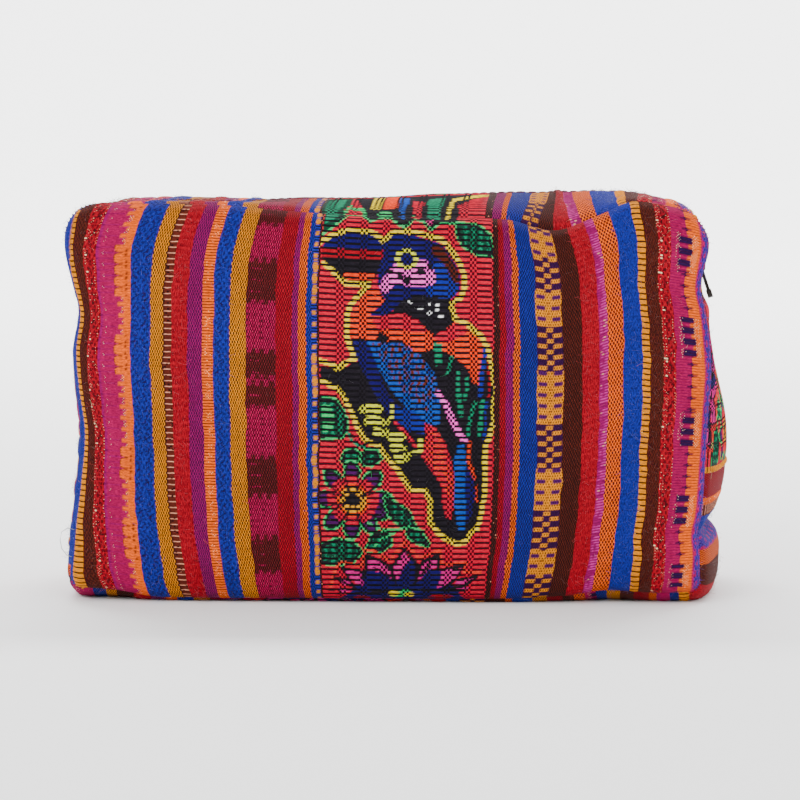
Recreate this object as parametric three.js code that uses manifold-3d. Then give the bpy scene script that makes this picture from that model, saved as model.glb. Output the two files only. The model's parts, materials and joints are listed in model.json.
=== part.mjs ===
// A zipped, filled wash bag of thick handwoven cloth: a front and a back panel joined by a gusset all the way
// round, with a zip along the top that runs a little way down both sides, and a slider with a hinged pull tab.
// Millimetres. +X is the viewer's right, -Y the front, +Z up. The origin is under the middle of the base.

import * as THREE from 'three';
import Module from 'manifold-3d';
import { mergeVertices } from 'three/addons/utils/BufferGeometryUtils.js';

const wasm = await Module();
wasm.setup();

// Cloth body
const seamWidth = 246.8;        // between the left and right seams of a panel
const seamHeight = 153.6;       // from the ground to the highest point of the top seam
const gussetDepth = 88;         // between the front and back seams
const topRadius = 13;           // of a panel's two upper corners
const footRadius = 6;           // and of its two lower ones
const clothWall = 2;            // thick woven cotton with its backing
const rollDepth = 7;            // how far a panel rolls forward from its seam
const rollWidth = 24;           // how far in from the seam the roll reaches
const domeDepth = 5;            // further crown of a panel's middle
const seamGap = 0.3;            // between two pieces sewn edge to edge
const backSlump = 0.014;        // the back seam's top lies lower than the front's, as a share of the height
const backTaper = 0.016;        // and its upper corners are drawn in, as a share of the width

// Zip
const zipEndDrop = 31.6;        // both ends of the zip lie this far below the top seam, on the sides
const zipOpening = 10;          // between the folded edges of the two top strips
const tapeWidth = 9;            // of one zip tape
const tapeWall = 0.8;
const coilWidth = 4.8;          // of the closed teeth
const coilHeight = 2.4;
const coilSink = 0.5;           // the top of the teeth lies this far below the cloth's face

// Slider, along the zip, across it and outwards
const sliderFromEnd = 8;        // from the zip's right end to the slider's middle
const sliderLength = 9;
const sliderWidth = 8.2;
const plateThickness = 1.1;
const flangeThickness = 0.7;
const flangeDrop = 1.6;         // how far the upper plate's turned edges reach down
const postLength = 2.4;         // the wedge between the two plates
const postWidth = 3;
const runningClearance = 0.45;  // between the plates and what slides between them

// Bail on the slider, and the pull tab that hangs on it
const bailThickness = 0.9;
const bailWidth = 2;
const pullBar = 1.3;            // diameter of the bar that turns in the bail
const pullLength = 13.2;        // from the bar's middle to the tip
const pullWidth = 5.8;
const pullThickness = 1.3;
const pullLean = 18;            // degrees from straight down, where the tab rests on the swelling side
const sideBar = 1.3;            // width of the bars beside the window
const windowLength = 3.7;       // from the bar's middle
const endBead = 0.35;           // how much thicker the tab's rounded end is
const endBeadLength = 3.2;

// How finely the cloth is divided
const longStep = 12;            // along the foot and the top
const sideStep = 9;
const cornerSteps = 4;
const panelColumns = 20;
const panelRows = 14;
const gussetRows = 8;
const stripRows = 5;
const roundSides = 12;

const halfWidth = seamWidth / 2;
const halfDepth = gussetDepth / 2;

// Side seams from the ground up. up is a share of the seam height, waist how far the seam is drawn in as a
// share of the half width, swell how far the gusset's middle stands out as a share of its depth.
const leftSide = [
  { up: 0.05, waist: 0.003, swell: 0.03 },
  { up: 0.16, waist: 0.018, swell: 0.04 },
  { up: 0.28, waist: 0.037, swell: 0.05 },
  { up: 0.41, waist: 0.052, swell: 0.06 },
  { up: 0.53, waist: 0.034, swell: 0.05 },
  { up: 0.62, waist: 0.026, swell: 0.035 },
  { up: 0.72, waist: 0.039, swell: -0.01 },
  { up: 0.80, waist: 0.018, swell: -0.048 },
  { up: 0.88, waist: -0.002, swell: -0.055 },
  { up: 0.95, waist: 0.000, swell: -0.03 },
];
const rightSide = [
  { up: 0.04, waist: 0.034, swell: 0.068 },
  { up: 0.115, waist: 0.036, swell: 0.066 },
  { up: 0.160, waist: 0.042, swell: 0.010 },
  { up: 0.21, waist: 0.029, swell: 0.052 },
  { up: 0.31, waist: 0.021, swell: 0.078 },
  { up: 0.45, waist: 0.012, swell: 0.066 },
  { up: 0.59, waist: 0.001, swell: 0.006 },
  { up: 0.69, waist: 0.010, swell: -0.010 },
  { up: 0.745, waist: 0.020, swell: 0.006 },
  { up: 0.81, waist: 0.034, swell: -0.026 },
  { up: 0.90, waist: 0.011, swell: -0.052 },
  { up: 0.97, waist: 0.014, swell: -0.03 },
];

// Top seam from left to right. across is a share of the half width, drop how far the seam lies below the
// seam height as a share of it, swell as above.
const topEdge = [
  { across: -1.00, drop: 0.009, swell: -0.02 },
  { across: -0.88, drop: 0.007, swell: -0.01 },
  { across: -0.69, drop: 0.004, swell: -0.006 },
  { across: -0.50, drop: 0.008, swell: -0.004 },
  { across: -0.32, drop: 0.021, swell: 0.030 },
  { across: -0.08, drop: 0.034, swell: 0.054 },
  { across: 0.16, drop: 0.038, swell: 0.076 },
  { across: 0.37, drop: 0.044, swell: 0.098 },
  { across: 0.515, drop: 0.070, swell: 0.152 },
  { across: 0.64, drop: 0.036, swell: 0.095 },
  { across: 0.75, drop: 0.001, swell: 0.020 },
  { across: 0.85, drop: 0.008, swell: -0.004 },
  { across: 1.00, drop: 0.035, swell: -0.02 },
];

// Foot seam from left to right. lift is its height as a share of the seam height.
const footEdge = [
  { across: -1.00, lift: 0.030, swell: 0.08 },
  { across: -0.85, lift: 0.022, swell: 0.08 },
  { across: -0.72, lift: 0.006, swell: 0.06 },
  { across: -0.30, lift: 0.004, swell: 0.06 },
  { across: 0.33, lift: 0.005, swell: 0.06 },
  { across: 0.54, lift: 0.013, swell: 0.06 },
  { across: 0.68, lift: 0.028, swell: 0.08 },
  { across: 0.85, lift: 0.022, swell: 0.08 },
  { across: 1.00, lift: 0.028, swell: 0.08 },
];

// A smooth curve through one column of a table
function along(table, key, column, at) {
  const last = table.length - 1;
  const place = Math.min(Math.max(at, table[0][key]), table[last][key]);
  let i = 0;
  while (i < last - 1 && table[i + 1][key] < place) i += 1;
  const slope = (k) => {
    const low = table[Math.max(k - 1, 0)];
    const high = table[Math.min(k + 1, last)];
    return (high[column] - low[column]) / (high[key] - low[key]);
  };
  const span = table[i + 1][key] - table[i][key];
  const t = (place - table[i][key]) / span;
  const start = table[i][column] * (1 + 2 * t) * (1 - t) ** 2 + slope(i) * span * t * (1 - t) ** 2;
  const end = table[i + 1][column] * t ** 2 * (3 - 2 * t) + slope(i + 1) * span * t ** 2 * (t - 1);
  return start + end;
}

// The plan of a panel is a rounded rectangle. shaped() draws its seams in and up as the tables say. back is
// 0 at the front seam and 1 at the back one, which lies a little lower and narrower at its top.
function shaped(x, z, back) {
  const p = x / halfWidth;
  const q = z / seamHeight;
  const waist = along(p < 0 ? leftSide : rightSide, 'up', 'waist', q) + back * backTaper * q ** 2;
  const top = seamHeight * (1 - along(topEdge, 'across', 'drop', p) - back * backSlump);
  const foot = seamHeight * along(footEdge, 'across', 'lift', p);
  return { x: x * (1 - waist * Math.abs(p) ** 3), z: foot + q * (top - foot) };
}

// The rim of the plan, measured from the middle of the foot, past the right side, the top and the left side
const straightFoot = halfWidth - footRadius;
const straightTop = halfWidth - topRadius;
const straightSide = seamHeight - footRadius - topRadius;
const quarter = Math.PI / 2;
const rimStretches = [
  { length: straightFoot, x: 0, z: 0, angle: -90 },
  { length: quarter * footRadius, radius: footRadius, x: straightFoot, z: footRadius, angle: -90 },
  { length: straightSide, x: halfWidth, z: footRadius, angle: 0 },
  { length: quarter * topRadius, radius: topRadius, x: straightTop, z: seamHeight - topRadius, angle: 0 },
  { length: 2 * straightTop, x: straightTop, z: seamHeight, angle: 90 },
  { length: quarter * topRadius, radius: topRadius, x: -straightTop, z: seamHeight - topRadius, angle: 90 },
  { length: straightSide, x: -halfWidth, z: seamHeight - topRadius, angle: 180 },
  { length: quarter * footRadius, radius: footRadius, x: -straightFoot, z: footRadius, angle: 180 },
  { length: straightFoot, x: -straightFoot, z: 0, angle: 270 },
];
const rimLength = rimStretches.reduce((sum, stretch) => sum + stretch.length, 0);

function rimPlan(distance) {
  let left = ((distance % rimLength) + rimLength) % rimLength;
  let i = 0;
  while (i < rimStretches.length - 1 && left > rimStretches[i].length) {
    left -= rimStretches[i].length;
    i += 1;
  }
  const stretch = rimStretches[i];
  const turn = stretch.radius ? left / stretch.radius : 0;
  const angle = THREE.MathUtils.degToRad(stretch.angle) + turn;
  const nx = Math.cos(angle);
  const nz = Math.sin(angle);
  if (stretch.radius) return { x: stretch.x + stretch.radius * nx, z: stretch.z + stretch.radius * nz, nx, nz };
  return { x: stretch.x - left * nz, z: stretch.z + left * nx, nx, nz };
}

// How far the gusset's middle stands out beside one place on the rim
function rimSwell(plan) {
  const p = plan.x / halfWidth;
  const q = plan.z / seamHeight;
  const side = along(plan.x < 0 ? leftSide : rightSide, 'up', 'swell', q);
  const edge = along(plan.nz < 0 ? footEdge : topEdge, 'across', 'swell', p);
  return gussetDepth * (plan.nx ** 2 * side + plan.nz ** 2 * edge);
}

// The gusset's outer face, at a distance along the rim and a place y between the seams. The bag stands on
// its base, so nothing lies below the ground.
const smallStep = 0.5;
function gussetFace(distance, y) {
  const back = (y + halfDepth) / gussetDepth;
  const plan = rimPlan(distance);
  const here = shaped(plan.x, plan.z, back);
  const next = rimPlan(distance + smallStep);
  const past = rimPlan(distance - smallStep);
  const ahead = shaped(next.x, next.z, back);
  const behind = shaped(past.x, past.z, back);
  const outward = new THREE.Vector2(ahead.z - behind.z, behind.x - ahead.x).normalize();
  const bulge = rimSwell(plan) * (1 - Math.abs(y / halfDepth) ** 2.4);
  return new THREE.Vector3(here.x + outward.x * bulge, y, Math.max(here.z + outward.y * bulge, 0));
}

function gussetNormal(distance, y) {
  const room = Math.min(smallStep, halfDepth - Math.abs(y));
  const run = gussetFace(distance + smallStep, y).sub(gussetFace(distance - smallStep, y));
  const across = new THREE.Vector3(0, 1, 0);
  if (room > 0) across.copy(gussetFace(distance, y + room).sub(gussetFace(distance, y - room)));
  return across.cross(run).normalize();
}

// A point this far below the gusset's outer face; at a cut edge it keeps its y, so that the edge is square
function gussetPoint(distance, y, below, square = false) {
  const normal = gussetNormal(distance, y);
  if (square) normal.setY(0).normalize();
  const point = gussetFace(distance, y).addScaledVector(normal, -below);
  return point;
}

// Distances along the rim for a stretch, with its corners divided evenly
function stations(from, to) {
  const list = [from];
  let start = 0;
  const turns = [0, rimLength];
  for (const turn of turns) {
    start = turn;
    for (const stretch of rimStretches) {
      const end = start + stretch.length;
      const low = Math.max(start, from);
      const high = Math.min(end, to);
      if (high - low > smallStep) {
        const upright = stretch.angle % 180 === 0;
        const wanted = stretch.radius ? stretch.length / cornerSteps : (upright ? sideStep : longStep);
        const count = Math.max(1, Math.round((high - low) / wanted));
        for (let k = 1; k <= count; k += 1) list.push(low + ((high - low) * k) / count);
      }
      start = end;
    }
  }
  return list;
}

// A closed wall between an outer and an inner grid of points, as columns of rows
function wallGeometry(outer, inner) {
  const columns = outer.length;
  const rows = outer[0].length;
  const positions = [];
  for (const grid of [outer, inner]) {
    for (const column of grid) for (const point of column) positions.push(point.x, point.y, point.z);
  }
  const at = (side, i, j) => side * columns * rows + i * rows + j;
  const index = [];
  const quad = (a, b, c, d) => index.push(a, b, c, a, c, d);
  for (let i = 0; i < columns - 1; i += 1) {
    for (let j = 0; j < rows - 1; j += 1) {
      quad(at(0, i, j), at(0, i + 1, j), at(0, i + 1, j + 1), at(0, i, j + 1));
      quad(at(1, i, j), at(1, i, j + 1), at(1, i + 1, j + 1), at(1, i + 1, j));
    }
  }
  for (let i = 0; i < columns - 1; i += 1) {
    quad(at(0, i, 0), at(1, i, 0), at(1, i + 1, 0), at(0, i + 1, 0));
    quad(at(0, i, rows - 1), at(0, i + 1, rows - 1), at(1, i + 1, rows - 1), at(1, i, rows - 1));
  }
  for (let j = 0; j < rows - 1; j += 1) {
    quad(at(0, 0, j), at(0, 0, j + 1), at(1, 0, j + 1), at(1, 0, j));
    quad(at(0, columns - 1, j), at(1, columns - 1, j), at(1, columns - 1, j + 1), at(0, columns - 1, j + 1));
  }
  const geometry = new THREE.BufferGeometry();
  geometry.setAttribute('position', new THREE.Float32BufferAttribute(positions, 3));
  geometry.setIndex(index);
  geometry.computeVertexNormals();
  return geometry;
}

// A band that follows the gusset from one distance to another and from one y to another
function bandGeometry(from, to, yFrom, yTo, rows, above, below) {
  const columns = stations(from, to);
  const grid = (depth) => columns.map((distance) => {
    const column = [];
    for (let j = 0; j <= rows; j += 1) {
      const y = yTo + ((yFrom - yTo) * j) / rows;
      column.push(gussetPoint(distance, y, depth, j === 0 || j === rows));
    }
    return column;
  });
  return wallGeometry(grid(above), grid(below));
}

// A panel's face stands forward of its seam: a roll next to the seam, then a gentle dome
function insetFromRim(x, z) {
  const radius = z < seamHeight / 2 ? footRadius : topRadius;
  const dx = Math.abs(x) - (halfWidth - radius);
  const dz = Math.abs(z - seamHeight / 2) - (seamHeight / 2 - radius);
  const outside = Math.hypot(Math.max(dx, 0), Math.max(dz, 0));
  return Math.max(radius - outside - Math.min(Math.max(dx, dz), 0), 0);
}

function panelCrown(x, z) {
  const share = Math.min(insetFromRim(x, z) / rollWidth, 1);
  const roll = rollDepth * Math.sqrt(1 - (1 - share) ** 2);
  const p = x / halfWidth;
  const q = (2 * z) / seamHeight - 1;
  return roll + domeDepth * (1 - p ** 2) * (1 - q ** 2);
}

function panelFace(x, z, back) {
  const place = shaped(x, z, back);
  return new THREE.Vector3(place.x, -halfDepth - panelCrown(x, z), place.z);
}

// The inner face of a panel: the plan drawn in by the wall, and the face drawn back by it
function panelInside(x, z, back, onRim) {
  const point = panelFace(x, z, back);
  point.x *= (halfWidth - clothWall) / halfWidth;
  point.z = clothWall + (point.z * (seamHeight - 2 * clothWall)) / seamHeight;
  const pushed = -point.y - halfDepth - clothWall;
  point.y = onRim ? -halfDepth : -halfDepth - Math.max(pushed, seamGap);
  return point;
}

// Half the plan's width at a height, less the rounded corners
function planHalf(z) {
  const radius = z < seamHeight / 2 ? footRadius : topRadius;
  const fromEnd = Math.min(z, seamHeight - z);
  if (fromEnd >= radius) return halfWidth;
  return halfWidth - radius + Math.sqrt(radius ** 2 - (radius - fromEnd) ** 2);
}

// back is 0 for the front panel and 1 for the back one, which is turned to face the other way
function panelGeometry(back) {
  const spread = (k, count) => -Math.cos((Math.PI * k) / count);
  const outer = [];
  const inner = [];
  for (let i = 0; i <= panelColumns; i += 1) {
    const outerColumn = [];
    const innerColumn = [];
    for (let j = 0; j <= panelRows; j += 1) {
      const z = (seamHeight * (1 + spread(j, panelRows))) / 2;
      const x = planHalf(z) * spread(i, panelColumns);
      const onRim = i === 0 || i === panelColumns || j === 0 || j === panelRows;
      outerColumn.push(panelFace(x, z, back));
      innerColumn.push(panelInside(x, z, back, onRim));
    }
    outer.push(outerColumn);
    inner.push(innerColumn);
  }
  if (!back) return wallGeometry(outer, inner);
  for (const column of [...outer, ...inner]) for (const point of column) point.y *= -1;
  return wallGeometry(outer.reverse(), inner.reverse());
}

function boxGeometry(x0, x1, y0, y1, z0, z1) {
  const box = new THREE.BoxGeometry(x1 - x0, y1 - y0, z1 - z0);
  return box.translate((x0 + x1) / 2, (y0 + y1) / 2, (z0 + z1) / 2);
}

function asSolid(geometry) {
  const plain = geometry.clone();
  plain.deleteAttribute('normal');
  plain.deleteAttribute('uv');
  const merged = mergeVertices(plain);
  return new wasm.Manifold(new wasm.Mesh({
    numProp: 3,
    vertProperties: new Float32Array(merged.attributes.position.array),
    triVerts: new Uint32Array(merged.index.array),
  }));
}

function asGeometry(solid) {
  const mesh = solid.getMesh();
  const geometry = new THREE.BufferGeometry();
  geometry.setAttribute('position', new THREE.Float32BufferAttribute(mesh.vertProperties, 3));
  geometry.setIndex(Array.from(mesh.triVerts));
  geometry.computeVertexNormals();
  return geometry;
}

// Slider, in its own frame: +X along the zip towards its end, +Y across, +Z outwards from the cloth's face
const plateUnder = -coilSink + runningClearance;
const plateTop = plateUnder + plateThickness;
const tapeTop = -clothWall - seamGap;
const tapeUnder = tapeTop - tapeWall;
const lowerPlateTop = Math.min(tapeUnder, -coilSink - coilHeight) - runningClearance;
const barRise = plateTop + runningClearance + pullBar / 2;
const bailInnerRise = barRise + pullBar / 2 + runningClearance;
const bailHalf = pullBar / 2 + 2 * runningClearance;

function sliderGeometry() {
  const halfLength = sliderLength / 2;
  const half = sliderWidth / 2;
  const plates = [
    boxGeometry(-halfLength, halfLength, -half, half, plateUnder, plateTop),
    boxGeometry(-halfLength, halfLength, -half, half, lowerPlateTop - plateThickness, lowerPlateTop),
    boxGeometry(halfLength - postLength, halfLength, -postWidth / 2, postWidth / 2, lowerPlateTop - 0.1, plateUnder + 0.1),
    boxGeometry(-halfLength, halfLength, -half, flangeThickness - half, plateTop - flangeDrop, plateTop),
    boxGeometry(-halfLength, halfLength, half - flangeThickness, half, plateTop - flangeDrop, plateTop),
  ];
  const arch = new THREE.Shape();
  const outer = bailHalf + bailThickness;
  const outerRise = bailInnerRise + bailThickness;
  arch.moveTo(-outer - 0.6, plateTop - 0.2);
  arch.lineTo(-outer, outerRise - bailThickness);
  arch.lineTo(-outer + bailThickness, outerRise);
  arch.lineTo(outer - bailThickness, outerRise);
  arch.lineTo(outer, outerRise - bailThickness);
  arch.lineTo(outer + 0.6, plateTop - 0.2);
  arch.closePath();
  const bail = new THREE.ExtrudeGeometry(arch, { depth: bailWidth, bevelEnabled: false });
  bail.rotateX(Math.PI / 2).translate(0, bailWidth / 2, 0);
  const hole = boxGeometry(-bailHalf, bailHalf, -bailWidth, bailWidth, plateTop, bailInnerRise);
  const solid = plates.slice(1).reduce((sum, plate) => sum.add(asSolid(plate)), asSolid(plates[0]));
  return asGeometry(solid.add(asSolid(bail)).subtract(asSolid(hole)));
}

// Pull tab, in its own frame: the bar's middle at the origin, the tab along +X, its faces to +Z and -Z
function pullGeometry() {
  const half = pullWidth / 2;
  const thin = pullThickness / 2;
  const tab = new THREE.Shape();
  const round = half * 0.9;
  tab.moveTo(0, -half);
  tab.lineTo(pullLength - round, -half);
  tab.absellipse(pullLength - round, 0, round, half, -Math.PI / 2, Math.PI / 2, false);
  tab.lineTo(0, half);
  tab.closePath();
  const plateOptions = { depth: pullThickness, bevelEnabled: false, curveSegments: roundSides / 2 };
  const plate = new THREE.ExtrudeGeometry(tab, plateOptions).translate(0, 0, -thin);
  const beadOptions = { depth: pullThickness + 2 * endBead, bevelEnabled: false, curveSegments: roundSides / 2 };
  const bead = new THREE.ExtrudeGeometry(tab, beadOptions).translate(0, 0, -thin - endBead);
  const beadBox = boxGeometry(pullLength - endBeadLength, pullLength + 1, -half - 1, half + 1, -thin * 3, thin * 3);
  const barGeometry = new THREE.CylinderGeometry(pullBar / 2, pullBar / 2, pullWidth, roundSides);
  const room = half - sideBar;
  const opening = boxGeometry(-thin * 3, windowLength, -room, room, -thin * 3, thin * 3);
  const solid = asSolid(plate)
    .add(asSolid(bead).intersect(asSolid(beadBox)))
    .subtract(asSolid(opening))
    .add(asSolid(barGeometry));
  return asGeometry(solid);
}

const rightZipEnd = straightFoot + quarter * footRadius + (seamHeight - zipEndDrop - footRadius);
const leftZipEnd = rimLength - rightZipEnd;
const sliderAt = rightZipEnd + sliderFromEnd;
const foldedEdge = zipOpening / 2;
const coilEdge = coilWidth / 2;
const tapeInner = coilEdge + seamGap;
const tapeOuter = tapeInner + tapeWidth;
const coilEnd = sliderAt - (sliderLength / 2 - postLength - runningClearance);

const clothLook = { roughness: 0.9, metalness: 0 };
const frontCloth = new THREE.MeshStandardMaterial({ name: 'front_cloth', color: 0xb0203a, ...clothLook });
const backCloth = new THREE.MeshStandardMaterial({ name: 'back_cloth', color: 0xb0203a, ...clothLook });
const gussetCloth = new THREE.MeshStandardMaterial({ name: 'gusset_cloth', color: 0x1745a8, ...clothLook });
const stripCloth = new THREE.MeshStandardMaterial({ name: 'strip_cloth', color: 0xf58020, ...clothLook });
const tapeLook = new THREE.MeshStandardMaterial({ name: 'zip_tape', color: 0x1a1418, ...clothLook });
const coilLook = new THREE.MeshStandardMaterial({ name: 'zip_teeth', color: 0x17131a, roughness: 0.4, metalness: 0 });
const metalLook = new THREE.MeshStandardMaterial({ name: 'dark_metal', color: 0x3c3634, roughness: 0.35, metalness: 1 });

const bag = new THREE.Group();

function place(name, geometry, material, parent = bag) {
  const mesh = new THREE.Mesh(geometry, material);
  mesh.name = name;
  parent.add(mesh);
  return mesh;
}

place('front_panel', panelGeometry(0), frontCloth);
place('back_panel', panelGeometry(1), backCloth);

const seamEdge = halfDepth - seamGap;
const baseFrom = leftZipEnd + seamGap;
const baseTo = rimLength + rightZipEnd - seamGap;
place('base_gusset', bandGeometry(baseFrom, baseTo, -seamEdge, seamEdge, gussetRows, 0, clothWall), gussetCloth);
place('top_strip_front', bandGeometry(rightZipEnd, leftZipEnd, -seamEdge, -foldedEdge, stripRows, 0, clothWall), stripCloth);
place('top_strip_back', bandGeometry(rightZipEnd, leftZipEnd, foldedEdge, seamEdge, stripRows, 0, clothWall), stripCloth);

const tapeBelow = -tapeTop;
place('zipper_tape_front',
  bandGeometry(rightZipEnd, leftZipEnd, -tapeOuter, -tapeInner, 2, tapeBelow, tapeBelow + tapeWall), tapeLook);
place('zipper_tape_back',
  bandGeometry(rightZipEnd, leftZipEnd, tapeInner, tapeOuter, 2, tapeBelow, tapeBelow + tapeWall), tapeLook);
place('zipper_teeth', bandGeometry(coilEnd, leftZipEnd, -coilEdge, coilEdge, 2, coilSink, coilSink + coilHeight), coilLook);

// The slider stands square to the cloth's face where it sits, with its wedge towards the zip's end
const outwards = gussetNormal(sliderAt, 0).setY(0).normalize();
const across = new THREE.Vector3(0, 1, 0);
const towardsEnd = new THREE.Vector3().crossVectors(across, outwards).normalize();
const sliderFrame = new THREE.Matrix4().makeBasis(towardsEnd, across, outwards);
const sliderPlace = new THREE.Group();
sliderPlace.position.copy(gussetFace(sliderAt, 0));
sliderPlace.quaternion.setFromRotationMatrix(sliderFrame);
bag.add(sliderPlace);
place('slider', sliderGeometry(), metalLook, sliderPlace);

const hinge = gussetFace(sliderAt, 0).addScaledVector(outwards, barRise);
const lean = THREE.MathUtils.degToRad(pullLean);
const downTab = new THREE.Vector3(Math.sin(lean), 0, -Math.cos(lean));
const tabFace = new THREE.Vector3().crossVectors(downTab, across).normalize();
const pullPlace = new THREE.Group();
pullPlace.position.copy(hinge);
pullPlace.quaternion.setFromRotationMatrix(new THREE.Matrix4().makeBasis(downTab, across, tabFace));
bag.add(pullPlace);
place('pull_tab', pullGeometry(), metalLook, pullPlace);

// The origin goes under the middle of the whole
const whole = new THREE.Box3().setFromObject(bag, true);
const middle = whole.getCenter(new THREE.Vector3());
bag.position.set(-middle.x, -middle.y, -whole.min.z);

export default bag;
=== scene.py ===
"""A zipped, filled wash bag of handwoven striped cotton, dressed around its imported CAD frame."""

import json
import math

import bmesh
import bpy
import numpy as np
from bpy.props import FloatProperty, FloatVectorProperty, IntProperty, PointerProperty
from mathutils import Matrix, Vector

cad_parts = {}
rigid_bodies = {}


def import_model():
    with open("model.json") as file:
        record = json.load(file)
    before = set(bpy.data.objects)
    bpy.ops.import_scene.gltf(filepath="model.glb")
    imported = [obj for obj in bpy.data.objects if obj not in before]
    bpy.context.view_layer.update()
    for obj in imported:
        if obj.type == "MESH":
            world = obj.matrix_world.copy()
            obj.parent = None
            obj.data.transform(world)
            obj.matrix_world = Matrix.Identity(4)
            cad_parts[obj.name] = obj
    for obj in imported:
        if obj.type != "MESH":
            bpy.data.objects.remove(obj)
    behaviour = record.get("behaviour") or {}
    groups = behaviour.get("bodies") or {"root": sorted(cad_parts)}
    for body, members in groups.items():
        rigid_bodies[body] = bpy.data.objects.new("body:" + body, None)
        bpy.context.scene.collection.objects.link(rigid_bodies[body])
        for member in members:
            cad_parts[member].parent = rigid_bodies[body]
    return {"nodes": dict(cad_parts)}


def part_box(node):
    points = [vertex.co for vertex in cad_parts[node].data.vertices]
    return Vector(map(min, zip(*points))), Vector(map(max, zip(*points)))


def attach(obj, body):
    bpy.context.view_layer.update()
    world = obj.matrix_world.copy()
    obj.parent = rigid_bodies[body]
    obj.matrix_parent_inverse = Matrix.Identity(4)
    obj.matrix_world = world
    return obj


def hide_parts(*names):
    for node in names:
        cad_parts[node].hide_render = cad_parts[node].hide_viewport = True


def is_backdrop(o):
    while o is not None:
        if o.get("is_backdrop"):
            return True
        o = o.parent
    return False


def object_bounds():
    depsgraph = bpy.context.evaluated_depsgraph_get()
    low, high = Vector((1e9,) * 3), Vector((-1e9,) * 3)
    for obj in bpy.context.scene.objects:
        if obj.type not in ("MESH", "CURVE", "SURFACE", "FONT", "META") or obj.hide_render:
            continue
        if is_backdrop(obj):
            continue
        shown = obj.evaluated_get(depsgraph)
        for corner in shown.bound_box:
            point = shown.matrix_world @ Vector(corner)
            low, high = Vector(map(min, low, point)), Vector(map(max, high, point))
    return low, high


bl_info = {
    "name": "Handwoven wash bag",
    "version": (1, 0, 0),
    "blender": (4, 5, 0),
    "location": "View3D > Sidebar > Wash bag",
    "description": "Builds the cloth, zip, threads and studio of a handwoven wash bag around its CAD frame",
    "category": "Add Mesh",
}

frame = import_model()
frame_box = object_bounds()

MM = 0.001


# Colours and tables

def linear(code):
    """An sRGB hex colour as three linear values."""
    parts = [int(code[i:i + 2], 16) / 255 for i in (1, 3, 5)]
    return tuple(p / 12.92 if p <= 0.04045 else ((p + 0.055) / 1.055) ** 2.4 for p in parts)


def columns(names, rows):
    """A table as named columns of numbers."""
    return dict(zip(names, np.array(rows, float).T))


# Dyes of the cotton yarns, as dark as they are under the studio's strong light
# The dark ones that the weaves use between raised stitches are partly painted shade there.
DYES = {
    "blue": "#141F80",
    "deep_blue": "#080830",
    "navy": "#120652",
    "sky": "#0A4098",
    "violet": "#3A1E84",
    "gold": "#C07200",
    "bronze": "#2E1404",
    "orange": "#D25200",
    "rust": "#5C200C",
    "brown": "#4A160C",
    "russet": "#5A1216",
    "umber": "#120404",
    "red": "#900016",
    "crimson": "#A40044",
    "wine": "#34020A",
    "magenta": "#8A0040",
    "purple": "#7C004C",
    "plum": "#26002E",
    "grape": "#3E0648",
    "mauve": "#A82878",
    "coral": "#B80428",
    "garnet": "#320410",
    "flame": "#D83200",
    "salmon": "#D22C1A",
    "yellow": "#D2B600",
    "pale_yellow": "#BDBE20",
    "sunny": "#D09000",
    "green": "#007350",
    "leaf": "#18A858",
    "forest": "#083626",
    "lilac": "#EB50BC",
    "pink": "#C00C74",
    "rose_white": "#C88468",
    "glitter": "#E8CFA0",
    "black": "#0C090E",
    "soot": "#17131A",
    "white": "#F2F2F2",
}
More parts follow.
